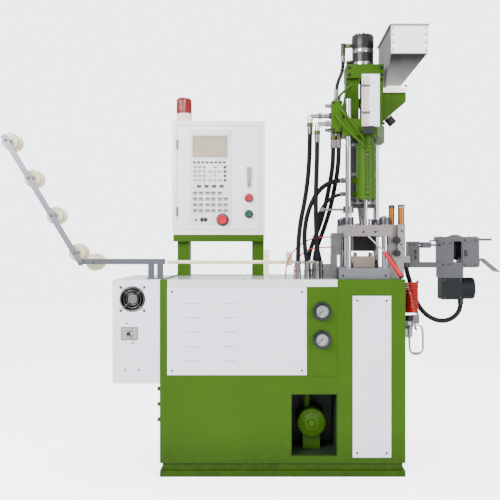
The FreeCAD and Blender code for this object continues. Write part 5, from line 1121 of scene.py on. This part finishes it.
def make_clamp():
    """Washers and nuts on the tie bars, socket screws in the platens, and the mould's fixing bolts."""
    washer = [(26, 1135), (27, 1136), (27, 1139), (26, 1140)]
    washers = [turned(washer, (x, y, 0), "Z", 48) for x, y in TIE_BARS]
    rim = [(20, 1173), (22, 1172.5), (24.8, 1171), (25.4, 1169), (25.4, 1140)]
    rings = [turned(rim, (x, y, 0), "Z", 48) for x, y in TIE_BARS]
    piece("tie_washers", washers, "zinc", "root", "zinc")
    piece("tie_nut_rims", rings, "dark_steel", "root", "steel")
    screws = [turned([(5, -263), (5, -264.4), (0.5, -264.6)], (x, 0, 905), "Y", 16) for x in (272, 466)]
    screws += [turned([(4, -218.5), (4, -220.2), (0.5, -220.6)], (x, 0, z), "Y", 16)
               for x, z in ((546, 1108), (546, 1046))]
    piece("platen_screws", screws, "dark", "root", "black_plastic")
    top = [turned([(11, 1134.5), (11, 1142), (10, 1143.4), (5.5, 1143.4), (5.5, 1137)], (x, y, 0), "Z", 24)
           for x, y in ((340, -232), (428, -232), (352, 60), (416, 60))]
    piece("platen_top_screws", top, "dark_steel", "root", "steel")
    clamps = [slab((314, 332), (-120, -96), (938, 958)), slab((436, 454), (-120, -96), (938, 958))]
    bolts = [hexagon((x, -108, 0), 15, 957, 968) for x in (322.5, 445.5)]
    piece("mould_clamps", clamps, "dark_steel", "root", "steel", bevel=1.5)
    piece("mould_bolts", bolts, "black", "root", "black_plastic")


def make_posts():
    """The two amber posts with dark caps, and the knurled lock knobs."""
    for index, (x, y, r, cap) in enumerate(((547, -203, 15.4, 8), (508, -172, 13.4, 14))):
        post = turned([(r, 1139.5), (r, 1230 - cap)], (x, y, 0), "Z", 40)
        top = turned([(r + 0.5, 1230 - cap), (r + 0.6, 1229), (r - 1, 1231), (0.6, 1231)], (x, y, 0), "Z",
                     40)
        piece(f"amber_post_{index}", [post], "amber", "root", "steel")
        piece(f"amber_post_cap_{index}", [top], "dark_steel", "root", "steel")
    grip = [(11, -221, 0), (14.5, -222, 0), (15.6, -224, 1), (15.6, -242, 1), (14, -246, 0),
            (0.6, -246.6, 0)]
    for name, z in (("lock_knob_lower", 1006), ("lock_knob_upper", 1065)):
        piece(name + "_grip", [knurled(grip, 523, z, 96, 24, 0.5)], "black_plastic", name, "black_plastic")


def make_blow_gun():
    """The air gun: a steel lance, a red grip with finger ribs and a black coupling."""
    start, neck, heel = np.array([(385, -266.3, 1085.0), (457, -266.3, 1015.0), (541, -266.3, 895.1)])
    lance = swept(np.linspace(start, neck, 5) / 1000, 0.0042, 16)
    piece("gun_lance", [lance], "chrome", "root", "chrome_rod", ("blow_gun",))
    t = np.linspace(0, 1, 60)
    path = neck + (heel - neck) * t[:, None]
    radius = 9 + 2.7 * t + 0.6 * np.sin(t * 60) * (t > 0.18) * (t < 0.7)
    radius[:4] = (5.5, 7.2, 8.4, 9)
    radius[-3:] = (11.4, 10.6, 8)
    piece("gun_grip", [swept(path / 1000, radius / 1000, 32)], "red", "root", "red_plastic")
    lever = neck + (heel - neck) * np.linspace(0.12, 0.62, 12)[:, None] + (9.2, 0, 6.4)
    piece("gun_lever", [swept(lever / 1000, 0.0032, 12)], "black", "root", "black_plastic")
    way = (heel - neck) / np.linalg.norm(heel - neck)
    tail = np.linspace(heel - way * 11, heel - way * 1, 4)
    piece("gun_coupling", [swept(tail / 1000, 0.0119, 24)], "black", "root", "black_plastic")


make_clamp()
make_posts()
make_blow_gun()

# ---------------------------------------------------------------- air supply


def make_coil():
    """The red spring tube: a helix of 18 turns on its own NURBS line, up to its fitting."""
    x, y, r = 596, -200, 28.4
    turns = 18
    angle = np.linspace(0, 2 * math.pi * turns, turns * 14 + 1)
    rise = np.linspace(729, 871, len(angle))
    loose = 1 - 0.035 * np.sin(angle * 0.37) ** 2
    helix = [(x + r * k * math.cos(a), y + r * k * math.sin(a), z) for a, z, k in zip(angle, rise, loose)]
    route = [(x + r, y, 719), (x + r, y, 724)] + helix
    line = cord_curve("coil_line", 0.0075, route, FINISH["coil"])
    points = line_points(line)
    bpy.data.objects.remove(line)
    coil = piece("spring_tube", [swept(points, 0.00375, 12)], "coil", "root", "red_plastic",
                 ("air_tube_coils",))
    end = route[-1]
    parts = [turned([(5, 866), (6, 867), (6, 876), (4.4, 878), (4.4, 880.5), (0.5, 880.5)], (end[0], y, 0),
                    "Z", 6)]
    nipple = piece("spring_tube_fitting", parts, "brass", "root", "zinc")


def make_hank():
    """The spare grey tube, hung as a hank: four flat loops that differ a little in size and fan out."""
    route = [(583, -213, 690), (583, -224, 684)]
    middle_x, low, high = 611, 570, 652
    for loop in range(4):
        half = (33, 30.5, 35, 31.5)[loop]
        y = -222 - 3.6 * loop
        drop = (0, 5, -4, 3)[loop]
        for step in range(14):
            a = math.radians(180 + 360 * step / 14)
            reach = high if math.sin(a) > 0 else low - drop
            route.append((middle_x + half * math.cos(a), y - 0.25 * step,
                          reach + min(half, 31) * math.sin(a) * (0.85 if math.sin(a) < 0 else 0.8)))
    line = cord_curve("hank_line", 0.0055, route, FINISH["grey_tube"])
    points = line_points(line)
    bpy.data.objects.remove(line)
    hank = piece("spare_tube", [swept(points, 0.00275, 12)], "grey_tube", "root", "grey_plastic",
                 ("air_tube_coils",))


def make_regulator():
    """The filter and regulator: a black knob, a grey body, a blue ring and a clear bowl with its drain."""
    x, y = REGULATOR
    top = 719
    knob = turned([(14, top - 25), (17, top - 24), (17.6, top - 20), (17.6, top - 4), (15, top - 1),
                   (0.6, top - 0.6)], (x, y, 0), "Z", 48)
    piece("regulator_knob", [knob], "black_plastic", "root", "black_plastic")
    body = [block((x - 18, y - 17, top - 52), (x + 18, y + 17, top - 25)),
            block((x + 15, y - 14.6, top - 38.4), (x + 46.4, y + 14.6, top + 0.4)),
            turned([(9, -14), (11, -17.4), (11, -20), (0.6, -20)], (x, y, top - 38), "Y", 28)]
    piece("regulator_body", body, "grey_plastic", "root", "grey_plastic", ("air_regulator",), bevel=1.6)
    ring = turned([(17, top - 63), (19.4, top - 62), (19.4, top - 53), (17, top - 52)], (x, y, 0), "Z", 48)
    piece("regulator_ring", [ring], "blue", "root", "grey_plastic")
    bowl = turned([(16, top - 62), (16, top - 96), (13, top - 103), (6, top - 106), (0.6, top - 106)],
                  (x, y, 0), "Z", 48)
    inner = turned([(4, top - 62), (4, top - 92), (7, top - 94), (7, top - 98), (0.6, top - 98)], (x, y, 0),
                   "Z", 24)
    drain = turned([(4, top - 105), (4.6, top - 106), (4.6, top - 108), (0.6, top - 108)], (x, y, 0), "Z",
                   16)
    piece("regulator_bowl", [bowl], "bowl", "root", "grey_plastic")
    piece("regulator_inside", [inner, drain], "zinc", "root", "zinc")
    bracket = [block((549, y - 10, top - 46), (x - 16, y + 10, top - 30)),
               block((549, y - 26, top - 60), (553, y + 26, top - 16))]
    bracket.append(bent([(611, -204, 682), (611, -207, 664), (611, -214, 657), (611, -243, 656)], 4))
    piece("regulator_bracket", bracket, "zinc", "root", "zinc", bevel=0.8)
    dial = turned([(8, -20), (8, -21.4), (0.6, -21.4)], (x, y, top - 38), "Y", 28)
    piece("regulator_dial", [dial], "dial", "root", "grey_plastic")


make_coil()
make_hank()
make_regulator()

# ---------------------------------------------------------------- strip take-off and feed arms


def make_takeoff():
    """Bolts, slots and covers on the take-off, its knurled wheel and its geared motor."""
    heads = [turned([(5, -150), (5, -153), (4.4, -153.8), (2.4, -153.8), (2.4, -151.5)], (x, 0, z), "Y",
                    20) for x, z in ((758, 1052), (789, 1052), (602, 1046), (620, 1046), (870, 1000),
                                     (756, 952), (790, 952), (858, 1066), (908, 1066), (858, 952),
                                     (908, 952))]
    heads += [turned([(4.4, 1083), (4.4, 1086), (2.4, 1086), (2.4, 1084)], (x, y, 0), "Z", 20)
              for x in (745, 905) for y in (-138, -62)]
    piece("takeoff_screws", heads, "dark_steel", "root", "steel")
    covers = [slab((606, 641), (-151.6, -149.6), (968, 1034)),
              slab((846, 920), (-152.6, -149.6), (948, 1058))]
    piece("takeoff_covers", covers, "unit", "root", "steel", bevel=1.2)
    # The dark plates are painted shade in the slots.
    slots = [slab((617, 629), (-152, -151), (z, z + 20)) for z in (976, 1002)]
    slots.append(slab((853, 866), (-153, -152), (990, 1020)))
    piece("takeoff_slots", slots, "dark", "root", "steel")
    x, z = PULLER_WHEEL
    tread = [(24, -48.3, 0), (58, -48.6, 0), (61.2, -47, 1), (61.2, -31, 1), (58, -29.6, 0), (24, -29.8, 0)]
    piece("puller_tread", [knurled(tread, x, z, 144, 48, 0.8)], "unit", "puller_wheel", "steel")
    nut = [turned([(9, -50), (10, -51), (10, -57), (9, -58)], (x, 0, z), "Y", 6)]
    piece("puller_nut", nut, "zinc", "puller_wheel", "zinc", bevel=0.5)
    y, z = -100, 838
    fins = [moved(slab((852, 898), (y - 51.4, y - 46), (z - 1.3, z + 1.3)), turn, "X", (0, y, z))
            for turn in range(0, 360, 15)]
    piece("motor_ribs", fins, "motor", "root", "black_plastic")
    cowl = turned([(50, 845), (51, 846), (51, 851), (50, 852), (50, 896), (51.2, 897), (51.2, 902),
                   (46, 907.6), (30, 908.4), (0.6, 908.4)], (0, y, z), "X", 64)
    piece("motor_cowl", [cowl], "motor", "root", "black_plastic")
    bolts = [turned([(5, -150), (5, -154), (2.6, -154), (2.6, -151.5)], (x, 0, zz), "Y", 18)
             for x in (760, 836) for zz in (796, 880)]
    piece("motor_bolts", bolts, "dark_steel", "root", "steel")
    gland = [turned([(13, 784), (15.4, 785), (15.4, 796), (13, 797)], (850, -100, 0), "Z", 6),
             turned([(11.2, 760), (13.4, 762), (13.4, 783), (12, 784.5)], (850, -100, 0), "Z", 32),
             turned([(11.2, 938), (13.4, 940), (13.4, 958), (12, 961)], (577, -170, 0), "Z", 32)]
    piece("conduit_glands", gland, "black", "root", "black_plastic")
    tips = [slab((648, 664), (-112, -88), (1034, 1040)), slab((648, 664), (-112, -88), (1048, 1054)),
            turned([(4, 700), (4, 745)], (0, -100, 1064), "X", 16)]
    piece("jaw_tips", tips, "zinc", "takeoff_jaw", "steel", bevel=1.0)


def make_feed_arms():
    """Roller hubs, axle nuts, the pivot bolt and end caps on the feed arms."""
    a = math.radians(121.3)
    for index in range(5):
        if index:
            d = 57 + 204 * (index - 1)
            x, z, body = -939 + d * math.cos(a), 960 + d * math.sin(a), "feed_arm_upper"
        else:
            x, z, body = -889, 964, "root"
        name = f"guide_roller_{index if index else 5}"
        rim = [turned([(39.9, -145), (40.6, -144), (40.6, -140), (36, -137.6), (31, -137), (30.6, -145.2),
                       (39.2, -145.6)], (x, 0, z), "Y", 56), turned([(12, -145.4), (14, -146.6),
                                                                     (17, -146.6), (18, -145)], (x, 0, z),
                                                                    "Y", 40)]
        piece(name + "_rims", rim, "cream", name, "cream_plastic")
        face = -208.3 if index else -200
        nuts = [hexagon((x, 0, z), 15, face - 6, face, "Y"),
                turned([(3, face - 9), (4, face - 8), (4, face)], (x, 0, z), "Y", 16)]
        piece(name + "_axle_nut", nuts, "zinc", body, "zinc", bevel=0.4)
    pivot = [turned([(9, -208), (9, -212), (8, -213.4), (4, -213.4), (4, -211)], (-939, 0, 960), "Y", 28)]
    piece("arm_pivot_bolt", pivot, "zinc", "feed_arm_upper", "zinc")
    plates = [slab((-631, -598), (-203, -170), (886.4, 890)),
              slab((-589, -556.6), (-203, -170), (886.4, 890))]
    piece("arm_feet", plates, "arm", "root", "steel", bevel=1)


def make_table_and_door():
    """The screws on the table, the door's hinges, and painted shade in the gap round the door."""
    heads = [turned([(4, 888), (4, 890.4), (3, 891.2), (0.5, 891.4)], (x, y, 0), "Z", 16)
             for x in (-500, -180, 150) for y in (-282, 250)]
    piece("table_screws", heads, "zinc", "root", "zinc")
    hinges = [turned([(5, z), (5, z + 46)], (-530.75, 96, 0), "Z", 20) for z in (1190, 1530)]
    piece("door_hinges", hinges, "zinc", "root", "zinc")
    # Blue-grey strips in the gap round the door: painted shade.
    door_gap_shade = [slab((-531.4, -529.6), (100.4, 103), (1120, 1648)),
              slab((-114.4, -112.6), (100.4, 103), (1120, 1648)),
              slab((-531, -113), (100.4, 103), (1646.8, 1648.4)),
              slab((-531, -113), (100.4, 103), (1119.6, 1121))]
    piece("door_gap", door_gap_shade, "key_dark", "root", "grey_plastic")


make_takeoff()
make_feed_arms()
make_table_and_door()

# ---------------------------------------------------------------- floor and light


def floor_paint():
    """The floor's white paint, which glows only towards the camera, so that it lights nothing."""
    n = Nodes("floor_paint")
    n.join(n.ramp(n.noise(6.0, 3), (0.78, 0.78, 0.78), (0.84, 0.84, 0.84)), n.shader.inputs["Base Color"])
    n.shader.inputs["Roughness"].default_value = 0.6
    seen = n.add("ShaderNodeLightPath").outputs["Is Camera Ray"]
    power = n.add("ShaderNodeMath", operation="MULTIPLY")
    n.join(seen, power.inputs[0])
    power.inputs[1].default_value = 3.2
    n.shader.inputs["Emission Color"].default_value = (1, 1, 1, 1)
    n.join(power.outputs[0], n.shader.inputs["Emission Strength"])
    return n.material


def make_floor():
    """A pale level floor: a grid in x and y at height nought."""
    across = np.linspace(-9, 9, 15)
    points = np.stack([np.broadcast_to(across, (15, 15)), np.broadcast_to(across[:, None], (15, 15)),
                       np.zeros((15, 15))], axis=-1)
    vertices, faces = grid(points)
    mesh = bpy.data.meshes.new("floor")
    mesh.from_pydata(vertices.tolist(), [], faces)
    mesh.materials.append(floor_paint())
    floor = bpy.data.objects.new("floor", mesh)
    bpy.context.scene.collection.objects.link(floor)


def make_lamp(name, place, aim, size, power):
    """A soft rectangular lamp, in metres and watts, turned towards a point."""
    data = bpy.data.lights.new(name, "AREA")
    data.shape = "RECTANGLE"
    data.size, data.size_y = size
    data.energy = power
    lamp = bpy.data.objects.new(name, data)
    lamp.location = place
    way = np.array(aim, float) - np.array(place, float)
    lamp.rotation_euler = (math.atan2(math.hypot(way[0], way[1]), -way[2]), 0, math.atan2(-way[0], way[1]))
    bpy.context.scene.collection.objects.link(lamp)


def make_light():
    """An even pale room that the camera sees nearly white, with three soft lamps."""
    world = bpy.data.worlds.new("world")
    bpy.context.scene.world = world
    world.use_nodes = True
    nodes, links = world.node_tree.nodes, world.node_tree.links
    nodes["Background"].inputs["Color"].default_value = (0.93, 0.96, 1.0, 1)
    power = nodes.new("ShaderNodeMath")
    power.operation = "MULTIPLY_ADD"
    links.new(nodes.new("ShaderNodeLightPath").outputs["Is Camera Ray"], power.inputs[0])
    power.inputs[1].default_value = 3.0
    power.inputs[2].default_value = 1.25
    links.new(power.outputs[0], nodes["Background"].inputs["Strength"])
    make_lamp("key", (-2.2, -3.2, 3.2), (0, 0, 1.0), (2.2, 2.2), 330)
    make_lamp("fill", (2.8, -2.8, 1.8), (0, 0, 0.9), (2.0, 2.4), 110)
    make_lamp("top", (0.2, 0.4, 4.0), (0, 0, 1.0), (2.5, 2.5), 140)


make_floor()
make_light()
